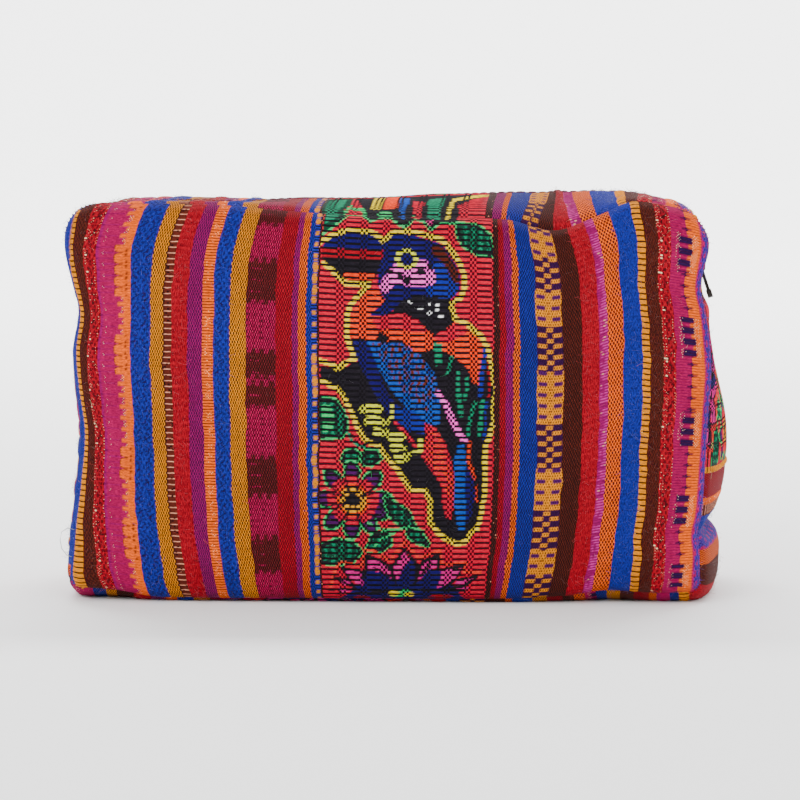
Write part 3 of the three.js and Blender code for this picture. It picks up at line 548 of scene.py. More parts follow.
CHART = [
    ("area", "forest", [(319, 198), (344, 198), (346, 208), (340, 218), (330, 230), (319, 238)]),
    ("area", "green", [(322, 204), (338, 202), (340, 210), (330, 222), (322, 226)]),
    ("line", "leaf", 2.4, [(347, 211), (338, 222), (330, 230), (319, 237)]),
    ("area", "black", [(345, 198), (480, 198), (470, 212), (458, 221), (440, 221), (430, 228), (420, 219),
                       (411, 217), (405, 225), (397, 223), (388, 216), (380, 215), (367, 220), (358, 213)]),
    ("area", "yellow", [(366, 198), (377, 198), (376, 214), (367, 214)]),
    ("area", "flame", [(378, 198), (393, 198), (393, 213), (380, 214)]),
    ("area", "sky", [(394, 200), (404, 202), (402, 218), (395, 214)]),
    ("area", "coral", [(408, 206), (421, 208), (418, 217), (410, 216)]),
    ("area", "green", [(422, 204), (440, 203), (438, 218), (426, 217)]),
    ("area", "pink", [(424, 219), (433, 218), (429, 225)]),
    ("area", "coral", [(455, 212), (470, 205), (494, 202), (494, 224), (478, 222), (458, 220)]),
    ("line", "yellow", 4.0, [(446, 216), (450, 206), (465, 203), (482, 200)]),
    ("line", "leaf", 2.6, [(345, 213), (359, 214), (367, 221), (380, 216), (388, 217), (397, 224),
                           (405, 226), (412, 218), (421, 220), (430, 229), (440, 222), (457, 222),
                           (478, 224)]),
    ("leaf", [(457, 223), (478, 225), (490, 234), (494, 252), (478, 251), (465, 244), (458, 234)]),
    ("area", "black", [(320, 366), (332, 369), (345, 366), (356, 360), (352, 345), (352, 330), (372, 312),
                       *BODY_OUTLINE]),
    ("area", "flame", [(349, 336), (350, 315), (357, 301), (368, 288), (386, 290), (384, 300), (374, 309),
                       (388, 314), (404, 312), (416, 317), (426, 327), (436, 334), (446, 327), (456, 318),
                       (470, 325), (483, 337), (488, 352), (480, 385), (473, 380), (468, 366), (452, 352),
                       (436, 345), (420, 352), (408, 344), (398, 337), (384, 340), (368, 338)]),
    ("area", "coral", [(371, 317), (388, 313), (404, 312), (416, 317), (428, 330), (412, 330), (396, 326),
                       (378, 329)]),
    ("area", "coral", [(432, 335), (447, 326), (457, 319), (470, 327), (462, 334), (444, 341)]),
    ("area", "black", [(378, 329), (389, 336), (384, 342), (376, 339)]),
    ("area", "navy", [(322, 247), (327, 241), (338, 236), (350, 233), (366, 233), (377, 237), (384, 246),
                      (384, 251), (321, 252)]),
    ("area", "red", [(320, 250), (336, 248), (383, 249), (383, 258), (320, 258)]),
    ("area", "black", [(320, 258), (383, 258), (378, 272), (372, 281), (346, 281), (334, 273), (325, 266)]),
    ("area", "flame", [(341, 273), (373, 272), (374, 279), (346, 280)]),
    ("area", "navy", [(383, 243), (390, 235), (400, 232), (412, 234), (425, 237), (441, 242), (448, 250),
                      (455, 262), (460, 275), (460, 288), (452, 296), (440, 298), (420, 297), (404, 301),
                      (394, 308), (384, 314), (370, 314), (378, 306), (385, 299), (379, 290), (377, 272),
                      (383, 256)]),
    ("area", "blue", [(431, 262), (446, 262), (457, 276), (459, 289), (450, 297), (430, 297), (424, 286)]),
    ("area", "brown", [(432, 244), (443, 246), (450, 256), (458, 270), (459, 281), (453, 281), (447, 268),
                       (440, 259), (431, 251)]),
    ("area", "lilac", [(389, 269), (394, 262), (402, 266), (414, 258), (424, 258), (431, 266), (436, 273),
                       (434, 282), (424, 285), (407, 285), (396, 281), (387, 292), (379, 289), (382, 277)]),
    ("oval", "black", 389, 270, 4, 2.6), ("oval", "black", 400, 275, 3, 3),
    ("oval", "black", 407, 279, 4.4, 4.4), ("oval", "black", 420, 270, 5, 3.4),
    ("oval", "black", 429, 265, 3, 3),
    ("oval", "pale_yellow", 406, 257.5, 11, 10.4),
    ("oval", "navy", 406, 257.5, 6.6, 6.4),
    ("area", "black", [(391, 313), (396, 305), (406, 297), (420, 293), (440, 296), (453, 297), (453, 309),
                       (449, 320), (442, 329), (434, 332), (428, 328), (420, 319), (406, 311)]),
    ("oval", "white", 411, 300, 3, 1.6), ("oval", "white", 420, 306, 3.2, 2),
    ("oval", "white", 429, 302, 2, 1.6), ("oval", "white", 437, 303, 2.6, 1.4),
    ("oval", "white", 437, 307, 2.4, 1.4),
    ("oval", "white", 429, 311, 2.2, 1.6), ("oval", "white", 441, 314, 3, 1.4),
    ("line", "yellow", 5.2, HEAD_OUTLINE),
    ("line", "yellow", 5.2, BACK_OUTLINE),
    ("area", "navy", [(352, 339), (367, 340), (374, 352), (379, 372), (388, 392), (402, 410), (424, 424),
                      (424, 432), (408, 430), (392, 418), (378, 398), (368, 380), (357, 360)]),
    ("area", "sky", [(367, 340), (386, 341), (404, 342), (420, 352), (434, 372), (441, 398), (440, 421),
                     (430, 424), (410, 410), (392, 390), (378, 366)]),
    ("streak", "rust", 0.45, [(372, 341), (404, 342), (424, 356), (438, 384), (428, 410), (400, 386),
                              (384, 362)]),
    ("streak", "navy", -1.05, [(372, 341), (404, 342), (424, 356), (441, 398), (436, 422), (404, 402),
                               (380, 362)]),
    ("area", "blue", [(395, 404), (412, 408), (426, 420), (424, 432), (404, 426), (394, 414)]),
    ("area", "green", [(434, 340), (443, 342), (443, 362), (435, 364)]),
    ("line", "green", 3.4, [(452, 354), (446, 372)]),
    ("line", "green", 3.8, [(458, 370), (458, 388)]),
    ("line", "green", 3.4, [(467, 376), (465, 396)]),
    ("line", "blue", 5.0, [(485, 348), (482, 372), (479, 392)]),
    ("line", "red", 2.6, [(489, 354), (490, 376), (488, 394)]),
    ("line", "green", 5.0, [(459, 392), (461, 412)]),
    ("line", "green", 3.6, [(475, 400), (470, 416), (468, 432)]),
    ("line", "green", 4.4, [(482, 398), (479, 432)]),
    ("line", "blue", 2.4, [(486, 400), (484, 436)]),
    ("line", "lilac", 5.0, [(438, 390), (446, 402), (452, 418), (462, 436)]),
    ("line", "lilac", 3.0, [(444, 396), (456, 420), (466, 440)]),
    ("line", "coral", 3.4, [(395, 421), (404, 430), (416, 444)]),
    ("area", "coral", [(425, 420), (435, 424), (444, 440), (452, 458), (455, 480), (454, 500), (453, 519),
                       (446, 515), (443, 500), (441, 482), (434, 472), (424, 458), (419, 450), (426, 438)]),
    ("mix", "flame", 0.35, [(425, 430), (440, 430), (455, 480), (452, 500), (440, 480), (424, 452)]),
    ("area", "sky", [(456, 443), (463, 442), (467, 466), (470, 500), (466, 528), (460, 528), (455, 505),
                     (454, 470)]),
    ("area", "navy", [(464, 464), (472, 470), (475, 490), (474, 512), (468, 524), (466, 500)]),
    ("line", "flame", 3.4, [(468, 440), (468, 456), (474, 476)]),
    ("line", "flame", 2.6, [(476, 484), (477, 500)]),
    ("line", "yellow", 5.2, BODY_OUTLINE),
    ("oval", "pale_yellow", 371, 408, 12, 6.5),
    ("oval", "pale_yellow", 374, 420, 11, 5.5),
    ("oval", "pale_yellow", 380, 430, 8, 5),
    ("line", "pale_yellow", 4.2, [(391, 402), (392, 414), (386, 421)]),
    ("line", "black", 2.0, [(360, 413), (372, 411), (384, 415)]),
    ("line", "black", 2.0, [(364, 425), (376, 424), (386, 428)]),
    ("oval", "pale_yellow", 396, 435, 9, 5),
    ("oval", "pale_yellow", 398, 446, 9, 5),
    ("oval", "pale_yellow", 401, 456, 8, 5),
    ("line", "pale_yellow", 4.2, [(420, 436), (420, 450), (408, 452)]),
    ("line", "black", 2.0, [(388, 441), (398, 440), (408, 444)]),
    ("line", "black", 2.0, [(392, 451), (400, 450), (409, 449)]),
    ("leaf", [(316, 398), (335, 400), (343, 410), (345, 424), (341, 435), (316, 437)]),
    ("area", "leaf", [(321, 404), (331, 405), (334, 414), (332, 430), (321, 432)]),
    ("line", "black", 2.0, [(319, 411), (334, 411)]),
    ("line", "black", 2.0, [(319, 420), (336, 420)]),
    ("line", "green", 3.0, [(346, 430), (352, 440), (362, 446), (376, 447)]),
    ("line", "black", 1.6, [(350, 432), (360, 443), (378, 442)]),
    ("leaf", [(343, 459), (346, 451), (354, 449), (361, 454), (355, 461), (347, 464)]),
    ("leaf", [(362, 456), (366, 450), (376, 450), (379, 457), (372, 463), (364, 462)]),
    ("petals",),
    ("leaf", [(385, 497), (394, 502), (408, 511), (416, 527), (402, 524), (390, 514)]),
    ("line", "leaf", 2.0, [(366, 522), (384, 529), (402, 528), (424, 530)]),
    ("leaf", [(408, 528), (420, 531), (429, 544), (418, 541), (410, 536)]),
    ("leaf", [(366, 549), (373, 534), (388, 532), (391, 542), (380, 550)]),
    ("line", "leaf", 2.0, [(368, 551), (384, 537), (398, 531)]),
    ("leaf", [(316, 547), (335, 540), (351, 543), (359, 552), (351, 561), (335, 564), (316, 562)]),
    ("line", "salmon", 3.0, [(327, 588), (332, 573), (338, 562), (361, 566), (363, 550), (372, 550),
                             (390, 560), (405, 541), (420, 558), (442, 549), (444, 564), (470, 562),
                             (468, 572), (487, 573)]),
    ("area", "navy", [(362, 570), (379, 572), (394, 580), (411, 558), (418, 566), (420, 582), (430, 569),
                      (444, 571), (443, 580), (458, 586), (474, 606), (334, 606), (352, 590)]),
    ("area", "pink", [(405, 550), (411, 560), (404, 568), (400, 578), (395, 582), (393, 568)]),
    ("area", "pink", [(366, 557), (383, 562), (394, 572), (394, 580), (380, 572), (366, 569)]),
    ("area", "pink", [(342, 569), (359, 572), (362, 587), (354, 584), (347, 577)]),
    ("area", "pink", [(333, 579), (346, 581), (354, 588), (341, 587)]),
    ("area", "pink", [(328, 591), (341, 589), (353, 592), (341, 594)]),
    ("area", "pink", [(423, 564), (439, 557), (440, 567), (430, 570), (419, 582), (416, 586), (421, 573)]),
    ("area", "pink", [(445, 570), (465, 568), (458, 580), (449, 586), (440, 590), (444, 577)]),
    ("area", "pink", [(461, 580), (480, 578), (473, 585), (460, 586)]),
    ("area", "pink", [(458, 589), (476, 588), (468, 593)]),
    ("line", "black", 3.3, [(362, 577), (365, 570), (365, 555), (383, 561), (393, 570), (396, 583)]),
    ("line", "black", 3.3, [(393, 578), (393, 567), (405, 548), (418, 564), (417, 580)]),
    ("line", "black", 3.3, [(416, 586), (420, 571), (423, 562), (440, 555), (441, 569)]),
    ("line", "black", 3.0, [(352, 588), (340, 568), (364, 572)]),
    ("line", "black", 3.0, [(444, 569), (467, 566), (459, 581), (446, 590)]),
    ("line", "black", 2.5, [(354, 590), (331, 578), (350, 581)]),
    ("line", "black", 2.5, [(326, 592), (354, 590)]),
    ("line", "black", 2.5, [(459, 580), (483, 577), (470, 587), (452, 590)]),
    ("line", "black", 2.2, [(374, 567), (390, 577)]),
    ("line", "black", 2.2, [(433, 562), (421, 577)]),
    ("line", "black", 2.6, [(336, 596), (372, 594), (402, 590), (440, 592), (470, 592)]),
    ("oval", "leaf", 401, 595, 13, 5), ("oval", "yellow", 394, 595, 6, 3.6),
    ("oval", "yellow", 411, 596, 6, 3), ("oval", "red", 360, 601, 10, 3),
    ("oval", "red", 446, 600, 14, 3.4),
]

# The round flower, in the same squares: where its petals point, in degrees, how far each layer reaches past
# the petals, and the dyes from the petals' tips inwards
FLOWER = {"middle": (352, 499), "reach": 37, "half": 6.2, "round_from": 20, "rim_from": 22}
FLOWER_TURNS = (336, 305, 267, 226, 180, 2, 134, 46, 91)
FLOWER_LAYERS = {"leaf": 4.6, "black": 2.4, "fill": 0.0}
FLOWER_RINGS = ((FLOWER["reach"], "grape"), (25, "coral"), (17, "flame"), (13, "sunny"))

# Widths of a leaf's light rim and of its black outline, in squares
LEAF_RIM = 6.4
LEAF_OUTLINE = 2.9


def in_area(x, y, corners):
    """Which places lie inside a polygon."""
    inside = np.zeros(x.shape, bool)
    for (x0, y0), (x1, y1) in zip(corners, corners[1:] + corners[:1]):
        if y0 == y1:
            continue
        crosses = (y0 > y) != (y1 > y)
        inside ^= crosses & (x < (x1 - x0) * (y - y0) / (y1 - y0) + x0)
    return inside


def near_line(x, y, width, turns):
    """Which places lie within half a width of a line."""
    near = np.zeros(x.shape, bool)
    for (x0, y0), (x1, y1) in zip(turns, turns[1:]):
        length = (x1 - x0) ** 2 + (y1 - y0) ** 2
        t = np.clip(((x - x0) * (x1 - x0) + (y - y0) * (y1 - y0)) / length, 0, 1)
        near |= np.hypot(x - x0 - t * (x1 - x0), y - y0 - t * (y1 - y0)) < width / 2
    return near


# The figured band's columns repeat every 8.4 mm, a column of dots and a wider one of bars
BAND_COLUMN = 8.4 * MM
BAND_START = 0.5 * MM
DOTS_SHARE = 0.43
PLAIN_EDGE = 3 * MM

# How much of a bar's height is dyed as its middle is, so that figures step from bar to bar
BAR_HOLD = 0.22

# From one stripe to the next on the threads' map, so that no stripe repeats another's fibres
STRIPE_SHIFT = 48 * MM

# The raw edges are a little apart, where the sewing thread lies
EDGE_GAP = 0.3 * MM

# The blue pile that the seam shows: its width, and where it ends on the gusset and starts on the top strips.
# The panel's own runs over the gold at its upper corner, between two levels above the middle in millimetres.
BLUE_EDGE = 4 * MM
GUSSET_BLUE_END = 112 * MM
STRIP_BLUE_START = 262 * MM
CORNER_BLUE = {"from": 46, "over": 10, "share": 0.55}


def chart_dyes(x, y, scatter):
    """The dye of each place of the figured band. scatter is a number from 0 to 1 for each place."""
    dye = np.full(x.shape, "coral", dtype="<U12")
    for form, *rest in CHART:
        if form == "area":
            dye[in_area(x, y, rest[1])] = rest[0]
        elif form == "mix":
            dye[in_area(x, y, rest[2]) & (scatter < rest[1])] = rest[0]
        elif form == "line":
            dye[near_line(x, y, rest[1], rest[2])] = rest[0]
        elif form == "oval":
            dye[((x - rest[1]) / rest[3]) ** 2 + ((y - rest[2]) / rest[4]) ** 2 < 1] = rest[0]
        elif form == "streak":
            waves = feather_waves(x, y) * math.copysign(1, rest[1])
            dye[in_area(x, y, rest[2]) & (waves > abs(rest[1]))] = rest[0]
        elif form == "leaf":
            paint_leaf(dye, x, y, scatter, rest[0])
        else:
            paint_flower(dye, x, y)
    return dye


def feather_waves(x, y):
    """Slanting waves about 2.5 mm apart, from -1.6 to 1.6, for the streaks of the wing."""
    return np.sin(x * 0.95 + 1.6 * np.sin(y * 0.23)) + 0.6 * np.sin(y * 0.41 + x * 0.2)


def paint_leaf(dye, x, y, scatter, corners):
    """A leaf: a light rim, a dark blade with lighter threads in rows, and a black outline."""
    rim = corners + corners[:1]
    dye[near_line(x, y, LEAF_RIM, rim)] = "leaf"
    blade = in_area(x, y, corners)
    dye[blade] = "forest"
    dye[blade & (np.sin(x * 0.8) + 1.6 * scatter > 1.2)] = "green"
    dye[near_line(x, y, LEAF_OUTLINE, rim)] = "black"


def paint_flower(dye, x, y):
    """A round flower: petals purple at their tips, red in the middle and yellow inside."""
    middle_x, middle_y = FLOWER["middle"]
    reach, half, bend = FLOWER["reach"], FLOWER["half"], FLOWER["round_from"]
    for layer, grow in FLOWER_LAYERS.items():
        for degrees in FLOWER_TURNS:
            angle = math.radians(degrees)
            out = (x - middle_x) * math.cos(angle) - (y - middle_y) * math.sin(angle)
            side = np.abs((x - middle_x) * math.sin(angle) + (y - middle_y) * math.cos(angle))
            tip = np.sqrt(np.clip(1 - (np.maximum(out - bend, 0) / (reach - bend + grow)) ** 2, 0, 1))
            width = np.minimum(0.25 * out + 0.7 * grow, half + grow) * tip
            petal = (side < width) & (out > 4) & ((layer != "leaf") | (out > FLOWER["rim_from"]))
            if layer != "fill":
                dye[petal] = layer
                continue
            for limit, hue in FLOWER_RINGS:
                dye[petal & (out <= limit)] = hue
    dye[((x - middle_x) / 7.5) ** 2 + ((y - middle_y) / 6.4) ** 2 < 1] = "black"


# Painting the threads

class Threads:
    """The dye and weave of every cell of one piece of cloth, with the gap colour between its stitches darkened
    as painted shade. Colours are kept for each cell's four corners, in the order left low, right low, left
    high, right high."""

    def __init__(self, stripes, owner, widths, columns_at, rows_at, level, seed):
        count_u, count_v = len(columns_at) - 1, len(rows_at) - 1
        step_u = np.array([0, 1, 0, 1])
        step_v = np.array([0, 0, 1, 1])
        shape = (count_u, count_v, 4)
        self.u = np.broadcast_to(columns_at[np.arange(count_u)[:, None, None] + step_u], shape)
        self.v = np.broadcast_to(rows_at[np.arange(count_v)[None, :, None] + step_v], shape)
        self.middle_v = np.broadcast_to(((rows_at[1:] + rows_at[:-1]) / 2)[None, :, None], shape)
        self.stripe = np.broadcast_to(owner[:, None, None], shape)
        starts = np.concatenate([[0], np.cumsum(widths)])
        self.names = np.array([name for name, _ in stripes])[self.stripe]
        self.offset = self.u - starts[self.stripe]
        self.share = self.offset / widths[self.stripe]
        self.weft = 2 * (rows_at[1] - rows_at[0])
        self.level = (self.v - level) / MM
        random = np.random.default_rng(seed)
        self.scatter = random.random((count_u, count_v, 1))
        self.row_scatter = random.random((1, count_v, 1))
        self.even_row = (np.arange(count_v) % 2 == 0)[None, :, None]
        self.yarn, self.gap = np.zeros((*shape, 3)), np.zeros((*shape, 3))
        self.weave, self.finish = np.zeros((count_u, count_v, 3)), np.zeros((count_u, count_v, 3))
        for name in sorted(set(name for name, _ in stripes)):
            self.lay(name, self.names == name)

    def lay(self, name, here):
        """Weaves some of the cells as one kind of stripe."""
        row = dict(zip(WEAVE_COLUMNS, WEAVES[name]))
        self.yarn[here] = linear(DYES[row["yarn"]])
        self.gap[here] = linear(DYES[row["gap"]])
        cover = math.cos(math.pi * row["cover"])
        across = 1 / row["across"] if row["across"] else 0
        whole = here[..., 0]
        self.weave[whole] = (across, 1 / (row["along"] * self.weft / MM), cover * (0.5 if across else 1))
        self.finish[whole] = (row["pile"], 0, 0 if across else 1)

    def dye(self, here, yarn, gap=None):
        """Dyes the raised yarn, and colours what shows between it with the ground's dye, mostly darker as
        painted shade.
        """
        self.yarn[here] = linear(DYES[yarn])
        self.gap[here] = linear(DYES[gap or yarn])

    def glitter(self, here):
        """Flat metal thread that shows as a small dot between the yarns."""
        cell = here.mean(-1) > 0.4
        self.gap[cell] = self.yarn[cell]
        self.yarn[cell] = linear(DYES["glitter"])
        self.weave[cell] = (1 / 1.05, 1 / 1.1, 0.66)
        self.finish[cell] = (0, 1, 0)

    def beat(self, wefts, start=0.0):
        """Where each place lies in a repeat of some weft threads, from 0 to 1, its middle at 0.5."""
        return np.mod(self.v / self.weft / wefts + start, 1)

    def zone(self, name, shift=0.0):
        """Where a stripe's figure changes. shift, in millimetres, makes its ends uneven."""
        inside = np.zeros(self.level.shape, bool)
        for low, high in ZONES[name]:
            inside |= (self.level + shift > low) & (self.level + shift < high)
        return inside

    def named(self, *names):
        """The stripes of one weave or more."""
        return np.isin(self.names, names)

    def paint_stripes(self):
        """Figures woven into the plain stripes. Most repeat every four weft threads, 4.4 mm. Places across a
        stripe are shares of its width from the left, and places along it are shares of the repeat."""
        self.turn = self.beat(4)
        self.far = np.abs(self.turn - 0.5)
        self.beads = self.zone("beads")
        self.paint_scallops()
        self.paint_bead_ground()
        self.paint_zigzag()
        self.paint_mottle()
        self.paint_crimson_blocks()
        self.paint_gold_blocks()
        self.paint_ovals()
        self.paint_small_stitches()
        self.paint_teeth()

    def paint_scallops(self):
        """Round orange beads outlined in rust by turns with a scalloped edge, metal thread beside both."""
        share, turn, far, scatter = self.share, self.turn, self.far, self.scatter
        bead = self.named("orange_scallop") & self.beads
        edge = self.named("orange_scallop") & ~self.beads
        ring = np.abs((share - 0.40) / 0.42) ** 2.2 + np.abs((turn - 0.5) / 0.50) ** 2.2
        scallop = 0.50 - 0.10 * np.cos(4 * math.pi * turn)
        self.dye(bead & (np.abs(ring - 1.02) < 0.22), "rust", "wine")
        self.dye(bead & (ring > 1.0) & (share < 0.36), "magenta", "purple")
        self.dye(edge & (share < scallop) & (far > 0.24), "magenta", "crimson")
        self.dye(edge & (share < 0.14), "magenta", "purple")
        self.dye(edge & (share > 0.80) & (share < 0.86) & (scatter < 0.4), "rust", "rust")
        self.glitter(edge & (np.abs(share - 0.50) < 0.10) & (far > 0.18) & (scatter < 0.62))
        self.glitter(bead & (np.abs(share - 0.66) < 0.08) & (far > 0.40) & (scatter < 0.5))

    def paint_bead_ground(self):
        """The magenta ground beside the beads, darker at its edge and between them."""
        share, far, scatter = self.share, self.far, self.scatter
        ground = self.named("magenta_beads")
        middle = np.abs(share - 0.42)
        self.dye(ground & (share < 0.22), "purple", "plum")
        self.dye(ground & (far > 0.43) & (share > 0.3) & self.beads, "purple", "plum")
        self.glitter(ground & (middle < 0.13) & (far > 0.40) & (scatter < 0.8))
        self.glitter(ground & ~self.beads & (middle < 0.10) & (far < 0.1) & (scatter < 0.4))

    def paint_zigzag(self):
        """A faint zigzag over six weft threads, with fine metal dots along it and along both edges."""
        share, scatter = self.share, self.scatter
        zigzag = self.named("red_zigzag")
        wave = np.abs(self.beat(6) - 0.5) * 2
        self.dye(zigzag & (np.abs(share - 0.25 - 0.5 * wave) < 0.09) & (scatter < 0.5), "wine", "wine")
        dots = zigzag & self.even_row
        self.glitter(dots & (np.abs(share - 0.10 - 0.75 * wave) < 0.08) & (scatter < 0.22))
        self.glitter(dots & (np.abs(np.abs(share - 0.53) - 0.40) < 0.08) & (scatter < 0.50))

    def paint_mottle(self):
        """Dark slanting flecks 2.7 mm apart on blue pile, and ruby spots on violet."""
        share, scatter = self.share, self.scatter
        mottle = self.named("blue_mottle")
        slant = np.mod(self.offset / MM / 2.7 + np.abs(self.beat(5) - 0.5) * 2.4, 1)
        self.dye(mottle & (slant < 0.20) & (scatter < 0.75), "deep_blue", "navy")
        self.dye(mottle & (np.abs(slant - 0.3) < 0.08) & (scatter < 0.20), "plum", "deep_blue")
        self.dye(mottle & (np.abs(share - 0.5) > 0.43) & (scatter < 0.6), "violet", "deep_blue")
        violet = self.named("violet_mottle")
        spots = (np.mod(share * 2.0 + 0.5 * (self.beat(8) > 0.5), 1) < 0.35) & (self.far < 0.3)
        self.dye(violet & spots & (scatter < 0.8), "crimson", "purple")
        self.dye(violet & (share < 0.10), "crimson", "purple")

    def paint_crimson_blocks(self):
        """Solid brown blocks with ragged ends on crimson, and small flecks between the blocks."""
        share, scatter = self.share, self.scatter
        blocks = self.named("crimson_blocks")
        solid = self.zone("brown", np.where(np.mod(share * 3.2, 1) < 0.5, 1.1, -0.7))
        fleck = (np.abs(self.beat(2, 0.5) - 0.5) < 0.16) & (np.mod(share * 4, 1) < 0.4)
        chink = (self.far > 0.38) & (np.abs(share - 0.28) < 0.20)
        self.dye(blocks & solid, "russet", "umber")
        self.dye(blocks & solid & chink & (scatter < 0.55), "crimson", "wine")
        self.dye(blocks & ~solid & fleck & (scatter < 0.7), "wine", "umber")

    def paint_gold_blocks(self):
        """Full gold blocks with notches and an eye, by turns with two bars and a dot on purple."""
        far, off = self.far, np.abs(self.share - 0.5)
        gold = self.named("gold_blocks")
        full = self.zone("gold")
        bars = (np.abs(off - 0.28) < 0.19) & (far < 0.24)
        dot = (off < 0.10) & (far > 0.34)
        self.dye(gold & ~full & ~bars & ~dot, "plum", "plum")
        self.dye(gold & full & (far > 0.37) & (np.abs(off - 0.30) < 0.15), "grape", "plum")
        self.dye(gold & full & (off < 0.07) & (far < 0.10), "rust", "plum")

    def paint_ovals(self):
        """Long gold ovals by turns with small ones."""
        ovals = self.named("oval_dashes")
        long_ones = self.zone("ovals")
        for here, wide, high in ((long_ones, 0.62, 0.40), (~long_ones, 0.42, 0.20)):
            oval = ((self.share - 0.5) / wide) ** 2 + ((self.turn - 0.5) / high) ** 2 < 1
            self.dye(ovals & here & oval, "gold", "gold")

    def paint_small_stitches(self):
        """Bars, pale stitches and stray dots of the narrow stripes."""
        share, scatter, row_scatter = self.share, self.scatter, self.row_scatter
        dashes = self.named("magenta_dashes")
        self.dye(dashes, "purple", "plum")
        close = np.mod(self.level / 13 + 0.3, 1) < 0.55
        bar = self.even_row & (row_scatter < 0.85) & (share > 0.1 + 0.3 * row_scatter)
        self.dye(dashes & bar & (close | (share < 0.35) | (share > 0.75)), "mauve", "mauve")
        self.dye(dashes & bar & (scatter < 0.06), "rose_white", "mauve")
        self.dye(self.named("brown_dashes") & ((share < 0.12) | (scatter < 0.06)), "brown", "umber")
        rungs = self.named("orange_ladder") & (np.abs(share - 0.5) < 0.16)
        self.glitter(rungs & (row_scatter < 0.5) & (scatter < 0.4))
        self.glitter(self.named("gold_ladder") & (share < 0.2) & (scatter < 0.08))
        self.dye(self.named("brown_pile") & (scatter < 0.04), "wine", "wine")
        self.dye(self.named("dark_line") & (scatter < 0.03), "rose_white", "brown")

    def paint_teeth(self):
        """Teeth over the edge between magenta and orange: broad dark bars by turns with small points."""
        share, scatter = self.share, self.scatter
        strong = self.zone("teeth")
        magenta, orange = self.named("magenta_teeth"), self.named("orange_teeth")
        wide = strong & (self.far < 0.33)
        point = self.far / 0.16
        small = ~strong & (point < 1)
        self.dye(magenta & wide & (share > 0.48), "plum", "navy")
        self.dye(orange & wide & (share < 0.40), "plum", "navy")
        self.dye(magenta & small & (share > 0.72 + 0.2 * point), "plum", "plum")
        self.dye(orange & small & (share < 0.38 - 0.34 * point), "plum", "plum")
        self.dye(orange & strong & ~wide & (share < 0.12), "magenta", "purple")
        self.glitter(orange & strong & (np.abs(share - 0.50) < 0.13) & (scatter < 0.7))
        self.glitter(magenta & strong & (np.abs(share - 0.40) < 0.10) & (scatter < 0.4))
        self.dye(orange & (share > 0.93), "crimson", "wine")

    def paint_band(self, chart_x, chart_y, square_height):
        """The figured band: bar columns and dot columns by turns, each thread dyed as the chart says."""
        here = self.names == "figured"
        column = self.offset.mean(-1) + BAND_START
        turn = np.mod(column / BAND_COLUMN + 0.5, 1)
        dots = (np.abs(turn - 0.5) < DOTS_SHARE / 2) & (column > PLAIN_EDGE) & here[..., 0]
        rib = 2 * self.weft
        snapped = np.floor(self.middle_v / rib + 0.5) * rib
        hold = np.where(dots[..., None], 0.0, BAR_HOLD)
        lift = (hold * (snapped - self.v))[here]
        scatter = np.broadcast_to(self.scatter, here.shape)[here]
        dyes = chart_dyes(chart_x[here], chart_y[here] - lift / square_height, scatter)
        places = np.argwhere(here)
        for dye in sorted(set(dyes)):
            picked = tuple(places[dyes == dye].T)
            # Between the bars shows garnet under coral and black elsewhere: painted shade between the bars.
            self.dye(picked, "soot" if dye == "black" else dye, "garnet" if dye == "coral" else "black")
        self.weave[dots] = (5 * MM / BAND_COLUMN, MM / rib, 0.0)

    def shade(self, seed):
        """Uneven dye: each cell a little lighter or darker, in patches and row by row."""
        patch = soft_noise(self.u, self.v, 9 * MM, 14 * MM, seed)
        fine = soft_noise(self.u, self.v, 1.6 * MM, 2.2 * MM, seed + 1)
        lift = 1 + 0.08 * patch + 0.07 * fine + 0.12 * (self.scatter - 0.5)
        self.yarn *= lift[..., None]
        self.gap *= lift[..., None]


def stripe_relief(stripes, owner, widths, u, v, weft, column_index):
    """How far each point of the cloth stands proud: puffed stripes, ribs and beads."""
    starts = np.concatenate([[0], np.cumsum(widths)])
    k = owner[np.clip(column_index, 0, len(owner) - 1)]
    tables = {c: np.array([WEAVES[name][WEAVE_COLUMNS.index(c)] for name, _ in stripes])
              for c in ("along", "puff", "rib")}
    share = np.clip((u - starts[k]) / widths[k], 0, 1)
    dome = 1 - np.abs(2 * share - 1) ** 2.6
    puff = tables["puff"][k] * MM * dome
    wave = np.cos(2 * math.pi * v / (tables["along"][k] * weft) + math.pi * (tables["along"][k] == 4))
    return puff + tables["rib"][k] * MM * wave * np.minimum(dome * 3, 1)


